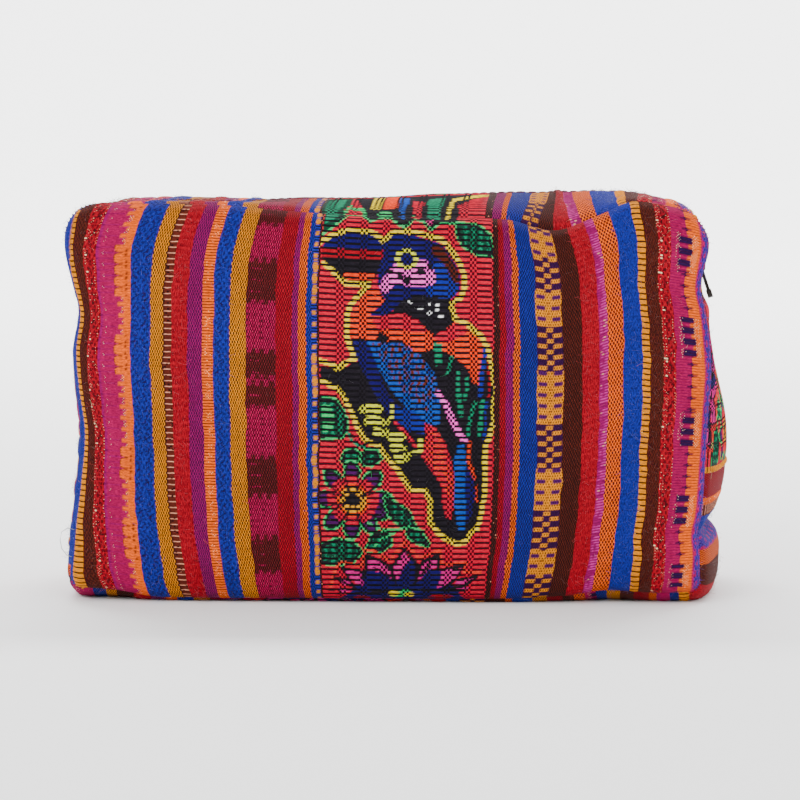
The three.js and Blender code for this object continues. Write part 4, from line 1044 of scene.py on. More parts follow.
def cloth_piece(name, material, lines_u, lines_v, points, threads, inside=None):
    """One piece of cloth as a fine grid, with a column for each line across and a row for each along."""
    count_u, count_v = len(lines_u) - 1, len(lines_v) - 1
    bm = bmesh.new()
    bmesh.ops.create_grid(bm, x_segments=count_u, y_segments=count_v, size=0.5)
    column = bm.verts.layers.int.new("column")
    row = bm.verts.layers.int.new("row")
    for vert in bm.verts:
        vert[column] = round((vert.co.x + 0.5) * count_u)
        vert[row] = round((vert.co.y + 0.5) * count_v)
    if inside is not None:
        gone = [f for f in bm.faces
                if not inside[min(v[column] for v in f.verts), min(v[row] for v in f.verts)]]
        bmesh.ops.delete(bm, geom=gone, context="FACES")
    piece = mesh_object(name, bm, material)
    mesh = piece.data
    i, j = (np.zeros(len(mesh.vertices), np.int32) for _ in range(2))
    mesh.attributes["column"].data.foreach_get("value", i)
    mesh.attributes["row"].data.foreach_get("value", j)
    mesh.vertices.foreach_set("co", points[i, j].astype(np.float32).ravel())
    corner = np.zeros(len(mesh.loops), np.int32)
    mesh.loops.foreach_get("vertex_index", corner)
    corner = corner.reshape(-1, 4)
    low_i, low_j = i[corner].min(1), j[corner].min(1)
    which = (i[corner] - low_i[:, None]) + 2 * (j[corner] - low_j[:, None])
    # The gap colour carries the painted shade between the raised stitches.
    for label, values in (("yarn", threads.yarn), ("gap", threads.gap)):
        layer = mesh.attributes.new(label, "FLOAT_COLOR", "CORNER")
        data = values[low_i[:, None], low_j[:, None], which].reshape(-1, 3)
        data = np.concatenate([data, np.ones((len(data), 1))], 1)
        layer.data.foreach_set("color", data.astype(np.float32).ravel())
    for label, values in (("weave", threads.weave), ("finish", threads.finish)):
        layer = mesh.attributes.new(label, "FLOAT_VECTOR", "CORNER")
        data = np.repeat(values[low_i, low_j], 4, 0)
        layer.data.foreach_set("vector", data.astype(np.float32).ravel())
    weave_map = mesh.uv_layers.new(name="threads")
    across = threads.offset[low_i[:, None], low_j[:, None], which]
    across = across + BAND_START + STRIPE_SHIFT * threads.stripe[low_i, low_j, :1]
    flat = np.stack([across, lines_v[j[corner]]], -1).reshape(-1, 2)
    weave_map.data.foreach_set("uv", flat.astype(np.float32).ravel())
    mesh.attributes.remove(mesh.attributes["column"])
    mesh.attributes.remove(mesh.attributes["row"])
    mesh.shade_smooth()
    return piece


def turn_over(piece):
    """Turns the piece's other face outwards."""
    bm = bmesh.new()
    bm.from_mesh(piece.data)
    bmesh.ops.reverse_faces(bm, faces=bm.faces)
    bm.to_mesh(piece.data)
    bm.free()


def turn_edge_in(piece, depth, back, shape):
    """Turns the cloth's raw edge into the seam: towards the inside of the bag and a little past the seam.
    The edge's new faces are put in order, because the lint is drawn from the list of faces."""
    bm = bmesh.new()
    bm.from_mesh(piece.data)
    bm.faces.index_update()
    count = len(bm.faces)
    edges = [e for e in bm.edges if e.is_boundary]
    made = bmesh.ops.extrude_edge_only(bm, edges=edges)
    hem = [g for g in made["geom"] if isinstance(g, bmesh.types.BMFace)]
    hem.sort(key=lambda face: tuple(face.calc_center_median()))
    for k, face in enumerate(hem):
        face.index = count + k
    bm.faces.sort()
    margin = 20 * MM
    core_x = shape.half_width - margin
    for vert in (g for g in made["geom"] if isinstance(g, bmesh.types.BMVert)):
        x, y, z = vert.co
        core = Vector((min(max(x, -core_x), core_x), y, min(max(z, margin), shape.height - margin)))
        inward = (core - vert.co).normalized() * depth
        vert.co += inward + Vector((0, back, 0))
    bm.to_mesh(piece.data)
    bm.free()
    piece.data.shade_smooth()


def face_normals(points_at, i, j, count_u, count_v):
    """Normals of a grid of points, from its neighbours."""
    low_i, high_i = np.maximum(i - 1, 0), np.minimum(i + 1, count_u)
    low_j, high_j = np.maximum(j - 1, 0), np.minimum(j + 1, count_v)
    run = points_at[high_i, j] - points_at[low_i, j]
    rise = points_at[i, high_j] - points_at[i, low_j]
    return unit(np.cross(run, rise))


def stripe_lean(shape, x, z):
    """How far the stripes lean sideways at a place of the panel's plan."""
    level = z / shape.height - LEAN_LEVEL
    high = np.clip(level / (1 - LEAN_LEVEL), 0, 1) ** LEAN_POWER["top"]
    low = np.clip(-level / LEAN_LEVEL, 0, 1) ** LEAN_POWER["foot"]
    top, foot = (along(LEAN, "across", edge, x / MM) for edge in ("top", "foot"))
    return (top * high + foot * low) * MM


def round_corners(shape, x, z, inside):
    """Moves the grid's points at the plan's corners onto their arcs."""
    low_half = z < shape.height / 2
    radius = np.where(low_half, shape.sizes.foot_radius, shape.sizes.top_radius)
    core_x = np.sign(x) * (shape.half_width - radius)
    core_z = np.where(low_half, radius, shape.height - radius)
    off_x, off_z = x - core_x, z - core_z
    reach = np.hypot(off_x, off_z)
    in_corner = (off_x * np.sign(x) > 0) & (off_z * np.sign(z - shape.height / 2) > 0)
    count_x, count_z = x.shape
    on_edge = np.zeros(x.shape, bool)
    whole = np.pad(inside, 1)
    for a in (0, 1):
        for b in (0, 1):
            on_edge |= ~whole[a:a + count_x, b:b + count_z]
    snap = in_corner & (on_edge | (reach > radius))
    return (np.where(snap, core_x + off_x / reach * radius, x),
            np.where(snap, core_z + off_z / reach * radius, z))


def panel_cloth(name, back, shape, weave, material, seed):
    """A front or back panel: the striped cloth over the crowned face, its corners rounded."""
    run_x, place_x = shape.cloth_scale(False)
    run_z, place_z = shape.cloth_scale(True)
    total_u, total_v = 2 * run_x[-1], 2 * run_z[-1]
    lines_u, owner, widths = thread_lines(PANEL_STRIPES, weave.thread_cell, weave.band_cell, total_u)
    row = weave.rib_pitch / weave.rows_in_rib
    rows = round(total_v / row)
    lines_v = (np.arange(rows + 1) - rows / 2) * (total_v / rows)
    count_u, count_v = len(lines_u) - 1, rows
    measure_u = lines_u - total_u / 2
    plan_x = np.sign(measure_u) * np.interp(np.abs(measure_u), run_x, place_x)
    plan_z = shape.height / 2 + np.sign(lines_v) * np.interp(np.abs(lines_v), run_z, place_z)
    grid_x, grid_z = np.meshgrid(plan_x, plan_z, indexing="ij")
    wander = soft_noise(grid_x + 1, grid_z + 1, 11 * MM, 7 * MM, seed) * weave.waviness
    wander += soft_noise(grid_x + 1, grid_z + 1, 4 * MM, 2.2 * MM, seed + 5) * weave.waviness * 0.6
    fade = np.clip(shape.inset(grid_x, grid_z) / (8 * MM), 0, 1)
    grid_x = grid_x + stripe_lean(shape, grid_x, grid_z) + wander * fade
    centre_x = (grid_x[1:, 1:] + grid_x[:-1, :-1]) / 2
    centre_z = (grid_z[1:, 1:] + grid_z[:-1, :-1]) / 2
    inside = shape.inset(centre_x, centre_z) > 0
    grid_x, grid_z = round_corners(shape, grid_x, grid_z, inside)

    points = shape.panel_face(grid_x, grid_z, back)
    i, j = np.meshgrid(np.arange(count_u + 1), np.arange(count_v + 1), indexing="ij")
    outward = face_normals(points, i, j, count_u, count_v) * (1 if back == 0 else -1)
    inset = np.maximum(shape.inset(grid_x, grid_z), 0)
    clear = np.clip(inset / (5 * MM), 0, 1)
    weft = 2 * (lines_v[1] - lines_v[0])
    relief = stripe_relief(PANEL_STRIPES, owner, widths, lines_u[i], lines_v[j], weft, i)
    relief *= 0.25 + 0.75 * clear
    relief += weave.dents * clear * soft_noise(grid_x + 2, grid_z + 2, 26 * MM, 31 * MM, seed + 3)
    relief += 0.35 * weave.dents * clear * soft_noise(grid_x + 2, grid_z + 2, 9 * MM, 12 * MM, seed + 4)
    relief -= weave.seam_pinch * np.exp(-(inset / weave.seam_reach) ** 2)
    points = points + outward * relief[..., None]

    threads = Threads(PANEL_STRIPES, owner, widths, lines_u, lines_v, 0, seed)
    threads.paint_stripes()
    corner = np.clip((threads.level - CORNER_BLUE["from"]) / CORNER_BLUE["over"], 0, 1)
    threads.lay("blue_pile", (threads.stripe == 1) & (threads.share < CORNER_BLUE["share"] * corner))
    band_left = widths[:[n for n, _ in PANEL_STRIPES].index("figured")].sum()
    flat_z = shape.height / 2 + np.sign(threads.v) * np.interp(np.abs(threads.v), run_z, place_z)
    chart_x = CHART_LEFT + (threads.u - band_left) / SQUARE_WIDTH
    threads.paint_band(chart_x, CHART_FOOT - flat_z / SQUARE_HEIGHT, SQUARE_HEIGHT)
    threads.shade(seed + 7)
    piece = cloth_piece(name, material, lines_u, lines_v, points, threads, inside)
    if back:
        turn_over(piece)
    turn_edge_in(piece, weave.hem, -EDGE_GAP if back else EDGE_GAP, shape)
    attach(piece, "bag")
    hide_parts("back_panel" if back else "front_panel")


def band_cloth(name, node, stripes, start, end, y_from, y_to, shape, weave, material, seed, chart):
    """A strip of cloth along the rim, from one distance to another, its stripes running across it."""
    total_u, total_v = end - start, y_to - y_from
    lines_u, owner, widths = thread_lines(stripes, weave.thread_cell, weave.band_cell * 1.2, total_u)
    row = weave.rib_pitch / weave.rows_in_rib
    rows = round(total_v / row)
    lines_v = np.linspace(0, total_v, rows + 1)
    count_u, count_v = len(lines_u) - 1, rows
    i, j = np.meshgrid(np.arange(count_u + 1), np.arange(count_v + 1), indexing="ij")
    y = y_from + lines_v[j]
    run = start + lines_u[i]
    from_edge = np.minimum(y - y_from, y_to - y)
    fade = np.clip(from_edge / (6 * MM), 0, 1) * np.clip(np.minimum(run - start, end - run) / (6 * MM), 0, 1)
    run = run + soft_noise(lines_u[i] + 1, y + 1, 9 * MM, 8 * MM, seed) * weave.waviness * fade
    points = shape.gusset_face(run, y)
    outward = shape.gusset_normal(run, y)
    weft = 2 * (lines_v[1] - lines_v[0])
    relief = stripe_relief(stripes, owner, widths, lines_u[i], lines_v[j], weft, i)
    relief *= 0.3 + 0.7 * fade
    relief += weave.dents * 0.7 * fade * soft_noise(lines_u[i] + 2, y + 2, 24 * MM, 20 * MM, seed + 3)
    for seam in (-shape.half_depth, shape.half_depth):
        relief -= weave.seam_pinch * np.exp(-((y - seam) / weave.seam_reach) ** 2)
    points = points + outward * relief[..., None]
    points[..., 2] = np.maximum(points[..., 2], 0)
    threads = Threads(stripes, owner, widths, lines_u, lines_v, total_v / 2, seed)
    threads.paint_stripes()
    blue_from, blue_to = chart["blue_edge"]
    threads.lay("blue_pile", (threads.v < BLUE_EDGE) & (threads.u > blue_from) & (threads.u < blue_to))
    chart_x = CHART_LEFT + threads.offset / SQUARE_WIDTH
    if chart["mirrored"]:
        chart_x = CHART_LEFT + (widths[threads.stripe] - threads.offset) / SQUARE_WIDTH
    threads.paint_band(chart_x, chart["row"] - threads.v / chart["square"], chart["square"])
    threads.shade(seed + 7)
    piece = cloth_piece(name, material, lines_u, lines_v, points, threads)
    turn_over(piece)
    turn_edge_in(piece, weave.hem, 0, shape)
    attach(piece, "bag")
    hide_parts(node)


# Materials

def add(tree, kind, settings=None, **links):
    """Adds a node, sets its properties, and links or sets its inputs by name."""
    node = tree.nodes.new(kind)
    for key, value in (settings or {}).items():
        setattr(node, key, value)
    for key, value in links.items():
        name = int(key[1:]) if key[0] == "i" and key[1:].isdigit() else key.replace("_", " ")
        socket = node.inputs[name]
        if isinstance(value, bpy.types.NodeSocket):
            tree.links.new(value, socket)
        else:
            socket.default_value = value
    return node


def surface(name, **values):
    """A material with its surface shader and the sockets that are the same all over."""
    material = bpy.data.materials.new(name)
    material.use_nodes = True
    tree = material.node_tree
    shader = tree.nodes["Principled BSDF"]
    for key, value in values.items():
        shader.inputs[key.replace("_", " ")].default_value = value
    return material, tree, shader


def handwoven_cotton():
    """Handwoven cotton, warp faced with raised weft figures: matt, ribbed and a little hairy, with flat
    metal thread here and there. Its stitches have the sizes of WEAVES. The bundles of fibre in a yarn are
    about 0.15 mm wide, and are drawn 0.4 mm wide so that they show."""
    material, tree, shader = surface("handwoven_cotton", Specular_IOR_Level=0.12)
    flat = add(tree, "ShaderNodeUVMap", {"uv_map": "threads"}).outputs["UV"]
    in_mm = add(tree, "ShaderNodeVectorMath", {"operation": "SCALE"}, i0=flat, Scale=1000.0).outputs[0]
    yarn = add(tree, "ShaderNodeAttribute", {"attribute_name": "yarn"}).outputs["Color"]
    gap = add(tree, "ShaderNodeAttribute", {"attribute_name": "gap"}).outputs["Color"]
    weave = add(tree, "ShaderNodeAttribute", {"attribute_name": "weave"}).outputs["Vector"]
    finish = add(tree, "ShaderNodeAttribute", {"attribute_name": "finish"}).outputs["Vector"]
    level = add(tree, "ShaderNodeSeparateXYZ", i0=weave).outputs[2]
    pile, metal, weftwise = add(tree, "ShaderNodeSeparateXYZ", i0=finish).outputs
    uneven = add(tree, "ShaderNodeTexNoise", {"noise_dimensions": "2D"}, Vector=in_mm, Scale=0.55,
                 Detail=2.0)
    shift = add(tree, "ShaderNodeVectorMath", {"operation": "SUBTRACT"}, i0=uneven.outputs["Color"],
                i1=(0.5, 0.5, 0.5)).outputs[0]
    bent = add(tree, "ShaderNodeVectorMath", {"operation": "MULTIPLY_ADD"}, i0=shift, i1=(0.35, 0.35, 0.0),
               i2=in_mm).outputs[0]
    place = add(tree, "ShaderNodeVectorMath", {"operation": "MULTIPLY"}, i0=bent, i1=weave).outputs[0]
    angle = add(tree, "ShaderNodeVectorMath", {"operation": "SCALE"}, i0=place, Scale=2 * math.pi).outputs[0]
    wave = add(tree, "ShaderNodeVectorMath", {"operation": "COSINE"}, i0=angle).outputs[0]
    waves = add(tree, "ShaderNodeSeparateXYZ", i0=wave).outputs
    raised = add(tree, "ShaderNodeMath", {"operation": "MULTIPLY"}, i0=waves[0], i1=waves[1]).outputs[0]
    low = add(tree, "ShaderNodeMath", {"operation": "SUBTRACT"}, i0=level, i1=0.22).outputs[0]
    high = add(tree, "ShaderNodeMath", {"operation": "ADD"}, i0=level, i1=0.16).outputs[0]
    stitch = add(tree, "ShaderNodeMapRange", {"interpolation_type": "SMOOTHSTEP"}, Value=raised,
                 From_Min=low, From_Max=high).outputs[0]
    lie = add(tree, "ShaderNodeMix", {"data_type": "VECTOR"}, i0=weftwise, i4=(2.6, 0.8, 1.0),
              i5=(0.7, 3.0, 1.0)).outputs[1]
    fibre_place = add(tree, "ShaderNodeVectorMath", {"operation": "MULTIPLY"}, i0=in_mm, i1=lie).outputs[0]
    fibre = add(tree, "ShaderNodeTexNoise", {"noise_dimensions": "2D"}, Vector=fibre_place, Scale=1.0,
                Detail=3.0, Roughness=0.65).outputs["Fac"]
    fuzzy = add(tree, "ShaderNodeMath", {"operation": "MULTIPLY"}, i0=pile, i1=0.75).outputs[0]
    brushed = add(tree, "ShaderNodeMapRange", {}, Value=fibre, From_Min=0.22, From_Max=0.5).outputs[0]
    soft = add(tree, "ShaderNodeMix", {"data_type": "FLOAT"}, i0=fuzzy, i2=stitch, i3=brushed).outputs[0]
    # Between the raised stitches the colour is the gap colour: the ground's dye with painted shade between the
    # threads.
    colour = add(tree, "ShaderNodeMix", {"data_type": "RGBA"}, i0=soft, i6=gap, i7=yarn).outputs[2]
    # The fibre noise darkens the colour where it lowers the bump: partly the fibres' own uneven tone, partly
    # painted shade between the fibre bundles.
    tone = add(tree, "ShaderNodeMapRange", {}, Value=fibre, From_Min=0.25, From_Max=0.75, To_Min=0.56,
               To_Max=1.44).outputs[0]
    toned = add(tree, "ShaderNodeVectorMath", {"operation": "SCALE"}, i0=colour, Scale=tone).outputs[0]
    tree.links.new(toned, shader.inputs["Base Color"])
    shine = add(tree, "ShaderNodeMath", {"operation": "MULTIPLY"}, i0=metal, i1=stitch).outputs[0]
    rough = add(tree, "ShaderNodeMapRange", {}, Value=shine, To_Min=0.88, To_Max=0.34).outputs[0]
    tree.links.new(rough, shader.inputs["Roughness"])
    height = add(tree, "ShaderNodeMath", {"operation": "MULTIPLY_ADD"}, i0=fibre, i1=0.5, i2=soft).outputs[0]
    bump = add(tree, "ShaderNodeBump", {}, Strength=1.0, Distance=0.00035, Height=height).outputs[0]
    tree.links.new(bump, shader.inputs["Normal"])
    return material


def zip_tape_polyester(colours):
    """Woven polyester zip tape: fine cross ribs at 0.6 mm, matt with a faint sheen."""
    material, tree, shader = surface("zip_tape_polyester", Roughness=0.78, Sheen_Weight=0.1)
    flat = add(tree, "ShaderNodeUVMap", {"uv_map": "threads"}).outputs["UV"]
    in_mm = add(tree, "ShaderNodeVectorMath", {"operation": "SCALE"}, i0=flat, Scale=1000.0).outputs[0]
    ribs = add(tree, "ShaderNodeTexWave", {"bands_direction": "X"}, Vector=in_mm, Scale=0.52,
               Distortion=0.4).outputs["Fac"]
    # The ribs' low parts take a darker copy of the tape colour: painted shade in the grooves between the ribs.
    low = tuple(c * 0.55 for c in colours.tape)
    colour = add(tree, "ShaderNodeMix", {"data_type": "RGBA"}, i0=ribs, i6=(*low, 1),
                 i7=(*colours.tape, 1)).outputs[2]
    tree.links.new(colour, shader.inputs["Base Color"])
    bump = add(tree, "ShaderNodeBump", {}, Strength=0.6, Distance=0.0002, Height=ribs).outputs[0]
    tree.links.new(bump, shader.inputs["Normal"])
    return material


def coil_nylon(colours):
    """Extruded nylon filament: smooth, with a soft highlight and a slight unevenness."""
    material, tree, shader = surface("coil_nylon", IOR=1.53)
    spot = add(tree, "ShaderNodeTexCoord").outputs["Object"]
    noise = add(tree, "ShaderNodeTexNoise", {}, Vector=spot, Scale=900.0, Detail=2.0).outputs["Fac"]
    low = tuple(c * 0.7 for c in colours.coil)
    colour = add(tree, "ShaderNodeMix", {"data_type": "RGBA"}, i0=noise, i6=(*low, 1),
                 i7=(*colours.coil, 1)).outputs[2]
    tree.links.new(colour, shader.inputs["Base Color"])
    rough = add(tree, "ShaderNodeMapRange", {}, Value=noise, To_Min=0.32, To_Max=0.5).outputs[0]
    tree.links.new(rough, shader.inputs["Roughness"])
    return material


def gunmetal_zinc(colours):
    """Die cast zinc with gunmetal plating: dark, softly glossy, brighter where it has rubbed."""
    material, tree, shader = surface("gunmetal_zinc", Metallic=1.0)
    spot = add(tree, "ShaderNodeTexCoord").outputs["Object"]
    noise = add(tree, "ShaderNodeTexNoise", {}, Vector=spot, Scale=420.0, Detail=4.0,
                Roughness=0.7).outputs["Fac"]
    low = tuple(c * 0.6 for c in colours.metal)
    colour = add(tree, "ShaderNodeMix", {"data_type": "RGBA"}, i0=noise, i6=(*low, 1),
                 i7=(*colours.metal, 1)).outputs[2]
    tree.links.new(colour, shader.inputs["Base Color"])
    rough = add(tree, "ShaderNodeMapRange", {}, Value=noise, To_Min=0.28, To_Max=0.46).outputs[0]
    tree.links.new(rough, shader.inputs["Roughness"])
    bump = add(tree, "ShaderNodeBump", {}, Strength=0.15, Distance=0.0001, Height=noise).outputs[0]
    tree.links.new(bump, shader.inputs["Normal"])
    return material


def sewing_thread(colours):
    """Spun polyester sewing thread: matt, with the twist of its plies, 0.5 mm, drawn at 1 mm to show."""
    material, tree, shader = surface("sewing_thread", Roughness=0.75, Sheen_Weight=0.2)
    spot = add(tree, "ShaderNodeTexCoord").outputs["Object"]
    twist = add(tree, "ShaderNodeTexWave", {"bands_direction": "DIAGONAL"}, Vector=spot,
                Scale=620.0).outputs["Fac"]
    # The twist's grooves take a darker copy of the thread colour: painted shade between the plies.
    low = tuple(c * 0.55 for c in colours.thread)
    colour = add(tree, "ShaderNodeMix", {"data_type": "RGBA"}, i0=twist, i6=(*low, 1),
                 i7=(*colours.thread, 1)).outputs[2]
    tree.links.new(colour, shader.inputs["Base Color"])
    return material


def cotton_lint():
    """Loose cotton fibres: matt and pale at their ends, each as dark as the yarn that it left."""
    material, tree, shader = surface("cotton_lint", Roughness=0.9, Sheen_Weight=0.3)
    hue = add(tree, "ShaderNodeAttribute", {"attribute_name": "yarn"}).outputs["Color"]
    spot = add(tree, "ShaderNodeTexCoord").outputs["Object"]
    noise = add(tree, "ShaderNodeTexNoise", {}, Vector=spot, Scale=700.0).outputs["Fac"]
    tone = add(tree, "ShaderNodeMapRange", {}, Value=noise, To_Min=0.8, To_Max=1.2).outputs[0]
    toned = add(tree, "ShaderNodeVectorMath", {"operation": "SCALE"}, i0=hue, Scale=tone).outputs[0]
    tree.links.new(toned, shader.inputs["Base Color"])
    return material


def paper_sweep(colours):
    """Seamless background paper: matt, with a faint tooth."""
    material, tree, shader = surface("paper_sweep", Roughness=0.92)
    spot = add(tree, "ShaderNodeTexCoord").outputs["Object"]
    noise = add(tree, "ShaderNodeTexNoise", {}, Vector=spot, Scale=40.0, Detail=3.0).outputs["Fac"]
    low = tuple(c * 0.985 for c in colours.floor)
    colour = add(tree, "ShaderNodeMix", {"data_type": "RGBA"}, i0=noise, i6=(*low, 1),
                 i7=(*colours.floor, 1)).outputs[2]
    tree.links.new(colour, shader.inputs["Base Color"])
    return material


def once(maker, *args):
    """The material that a function makes, made the first time that it is asked for."""
    return bpy.data.materials.get(maker.__name__) or maker(*args)


# Operators

def scene_shape():
    """The bag's shape at the sizes that are set."""
    scene = bpy.context.scene
    return BagShape(scene.bag_sizes, scene.zip_sizes)


class BAG_OT_panels(bpy.types.Operator):
    """Weave the front and back panels"""
    bl_idname = "bag.panels"
    bl_label = "Front and back panels"

    def execute(self, context):
        shape = scene_shape()
        cotton = once(handwoven_cotton)
        panel_cloth("front_cloth", 0, shape, context.scene.weave_sizes, cotton, 11)
        panel_cloth("back_cloth", 1, shape, context.scene.weave_sizes, cotton, 23)
        return {"FINISHED"}


class BAG_OT_gusset(bpy.types.Operator):
    """Weave the gusset and the two strips beside the zip"""
    bl_idname = "bag.gusset"
    bl_label = "Gusset and top strips"

    def execute(self, context):
        shape = scene_shape()
        weave = context.scene.weave_sizes
        cotton = once(handwoven_cotton)
        edge = shape.half_depth - EDGE_GAP
        fold = context.scene.zip_sizes.opening / 2
        start = shape.left_zip_end + EDGE_GAP
        end = shape.rim_length + shape.right_zip_end - EDGE_GAP
        chart = {"mirrored": False, "row": 575, "square": SQUARE_HEIGHT, "blue_edge": (-1, GUSSET_BLUE_END)}
        band_cloth("base_gusset_cloth", "base_gusset", GUSSET_STRIPES, start, end, -edge, edge,
                   shape, weave, cotton, 31, chart)
        chart = {"mirrored": True, "row": 217, "square": 4.1 * SQUARE_HEIGHT,
                 "blue_edge": (STRIP_BLUE_START, 1)}
        for side, y_from, y_to, seed in (("front", -edge, -fold, 41), ("back", fold, edge, 53)):
            band_cloth(f"top_strip_{side}_cloth", f"top_strip_{side}", STRIP_STRIPES, shape.right_zip_end,
                       shape.left_zip_end, y_from, y_to, shape, weave, cotton, seed, chart)
        return {"FINISHED"}


class BAG_OT_zip(bpy.types.Operator):
    """Make the zip's tapes and coils, and finish its slider and pull tab"""
    bl_idname = "bag.zip"
    bl_label = "Zip"

    def execute(self, context):
        shape = scene_shape()
        sizes = context.scene.zip_sizes
        colours = context.scene.shown_colours
        for side in (-1, 1):
            zip_tape(side, shape, sizes, once(zip_tape_polyester, colours))
        zip_coils(shape, sizes, once(coil_nylon, colours))
        metal = once(gunmetal_zinc, colours)
        for node in ("slider", "pull_tab"):
            piece = frame["nodes"][node]
            piece.data.materials.clear()
            piece.data.materials.append(metal)
        return {"FINISHED"}


def zip_tape(side, shape, sizes, material):
    """One tape of the zip, under the folded edge of the cloth."""
    inner = sizes.coil_width / 2 + EDGE_GAP
    outer = inner + sizes.tape_width
    lines_u = np.linspace(0, shape.left_zip_end - shape.right_zip_end, 240)
    lines_v = np.linspace(inner, outer, 9)
    count_u, count_v = len(lines_u) - 1, len(lines_v) - 1
    bm = bmesh.new()
    bmesh.ops.create_grid(bm, x_segments=count_u, y_segments=count_v, size=0.5)
    flat = bm.loops.layers.uv.new("threads")
    cells = {vert: (round((vert.co.x + 0.5) * count_u), round((vert.co.y + 0.5) * count_v))
             for vert in bm.verts}
    i, j = (np.array([cells[vert][k] for vert in bm.verts]) for k in (0, 1))
    run = shape.right_zip_end + lines_u[i]
    y = side * lines_v[j]
    points = shape.gusset_face(run, y) - shape.gusset_normal(run, y) * sizes.tape_depth
    for vert, point in zip(bm.verts, points):
        vert.co = point
    for face in bm.faces:
        for loop in face.loops:
            a, b = cells[loop.vert]
            loop[flat].uv = (lines_u[a], lines_v[b])
    if side < 0:
        bmesh.ops.reverse_faces(bm, faces=bm.faces)
    bmesh.ops.recalc_face_normals(bm, faces=bm.faces)
    name = "front" if side < 0 else "back"
    piece = mesh_object(f"tape_{name}", bm, material)
    piece.data.shade_smooth()
    wall = piece.modifiers.new("wall", "SOLIDIFY")
    wall.thickness = 0.7 * MM
    wall.offset = -1
    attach(piece, "bag")
    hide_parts(f"zipper_tape_{name}")


def zip_coils(shape, sizes, material):
    """Both coils of the closed zip, each a row of bent filament turns."""
    slider_end = 5.5 * MM
    start = shape.right_zip_end + slider_end
    count = int((shape.left_zip_end - start) / sizes.coil_pitch)
    half = sizes.coil_width / 2
    bm = bmesh.new()
    sides = 5
    bends = [(0.10, -0.5), (-0.06, -0.1), (0.0, 0.42), (0.45, 0.5), (0.92, 0.42), (1.0, 0.0), (0.92, -0.42),
             (0.5, -0.5)]
    for row in (-1, 1):
        for k in range(count):
            run = np.array([start + (k + (0.5 if row > 0 else 0.0)) * sizes.coil_pitch])
            middle = np.zeros(1)
            base = shape.gusset_face(run, middle)[0]
            normal = shape.gusset_normal(run, middle)[0]
            normal[1] = 0
            normal /= np.linalg.norm(normal)
            ahead = np.cross(normal, (0, 1, 0))
            depth = sizes.coil_sink + sizes.coil_height / 2
            rings = []
            for out, rise in bends:
                place = base - normal * (depth - rise * (sizes.coil_height - sizes.wire))
                place = place + np.array([0, row * (out * (half - sizes.wire / 2)), 0])
                place = place + ahead * (out - 0.5) * 0.25 * sizes.coil_pitch
                rings.append(place)
            loop_of_filament(bm, rings, sizes.wire / 2, sides)
    piece = mesh_object("zip_coils", bm, material)
    piece.data.shade_smooth()
    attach(piece, "bag")
    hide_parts("zipper_teeth")


def loop_of_filament(bm, route, radius, sides):
    """A thin rod along a few points, closed at both ends."""
    rings = []
    count = len(route)
    for k, place in enumerate(route):
        ahead = unit(route[min(k + 1, count - 1)] - route[max(k - 1, 0)])
        side = np.cross(ahead, (0.31, 0.17, 0.93))
        side /= max(np.linalg.norm(side), 1e-9)
        up = np.cross(side, ahead)
        ring = []
        for n in range(sides):
            angle = 2 * math.pi * n / sides
            ring.append(bm.verts.new(place + radius * (side * math.cos(angle) + up * math.sin(angle))))
        rings.append(ring)
    for low, high in zip(rings, rings[1:]):
        for n in range(sides):
            m = (n + 1) % sides
            bm.faces.new((low[n], low[m], high[m], high[n]))
    bm.faces.new(rings[0][::-1])
    bm.faces.new(rings[-1])


class BAG_OT_stitching(bpy.types.Operator):
    """Sew the topstitching beside the zip"""
    bl_idname = "bag.stitching"
    bl_label = "Stitching"

    def execute(self, context):
        shape = scene_shape()
        sizes = context.scene.zip_sizes
        bm = bmesh.new()
        step = sizes.stitch_length + sizes.stitch_gap
        count = int((shape.left_zip_end - shape.right_zip_end - 4 * MM) / step)
        inset = sizes.opening / 2 + sizes.stitch_inset
        for side in (-1, 1):
            for k in range(count):
                start = shape.right_zip_end + 2 * MM + k * step
                shares = np.array([0.0, 0.12, 0.5, 0.88, 1.0])
                rise = np.array([-0.35, 0.10, 0.18, 0.10, -0.35]) * MM
                run = start + shares * sizes.stitch_length
                y = np.full_like(run, side * inset)
                route = shape.gusset_face(run, y) + shape.gusset_normal(run, y) * rise[:, None]
                loop_of_filament(bm, list(route), 0.18 * MM, 6)
        piece = mesh_object("topstitching", bm, once(sewing_thread, context.scene.shown_colours))
        piece.data.shade_smooth()
        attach(piece, "bag")
        return {"FINISHED"}


LOOSE_FIBRES = {"front_cloth": 2600, "back_cloth": 1500, "base_gusset_cloth": 1300,
                "top_strip_front_cloth": 700, "top_strip_back_cloth": 500}


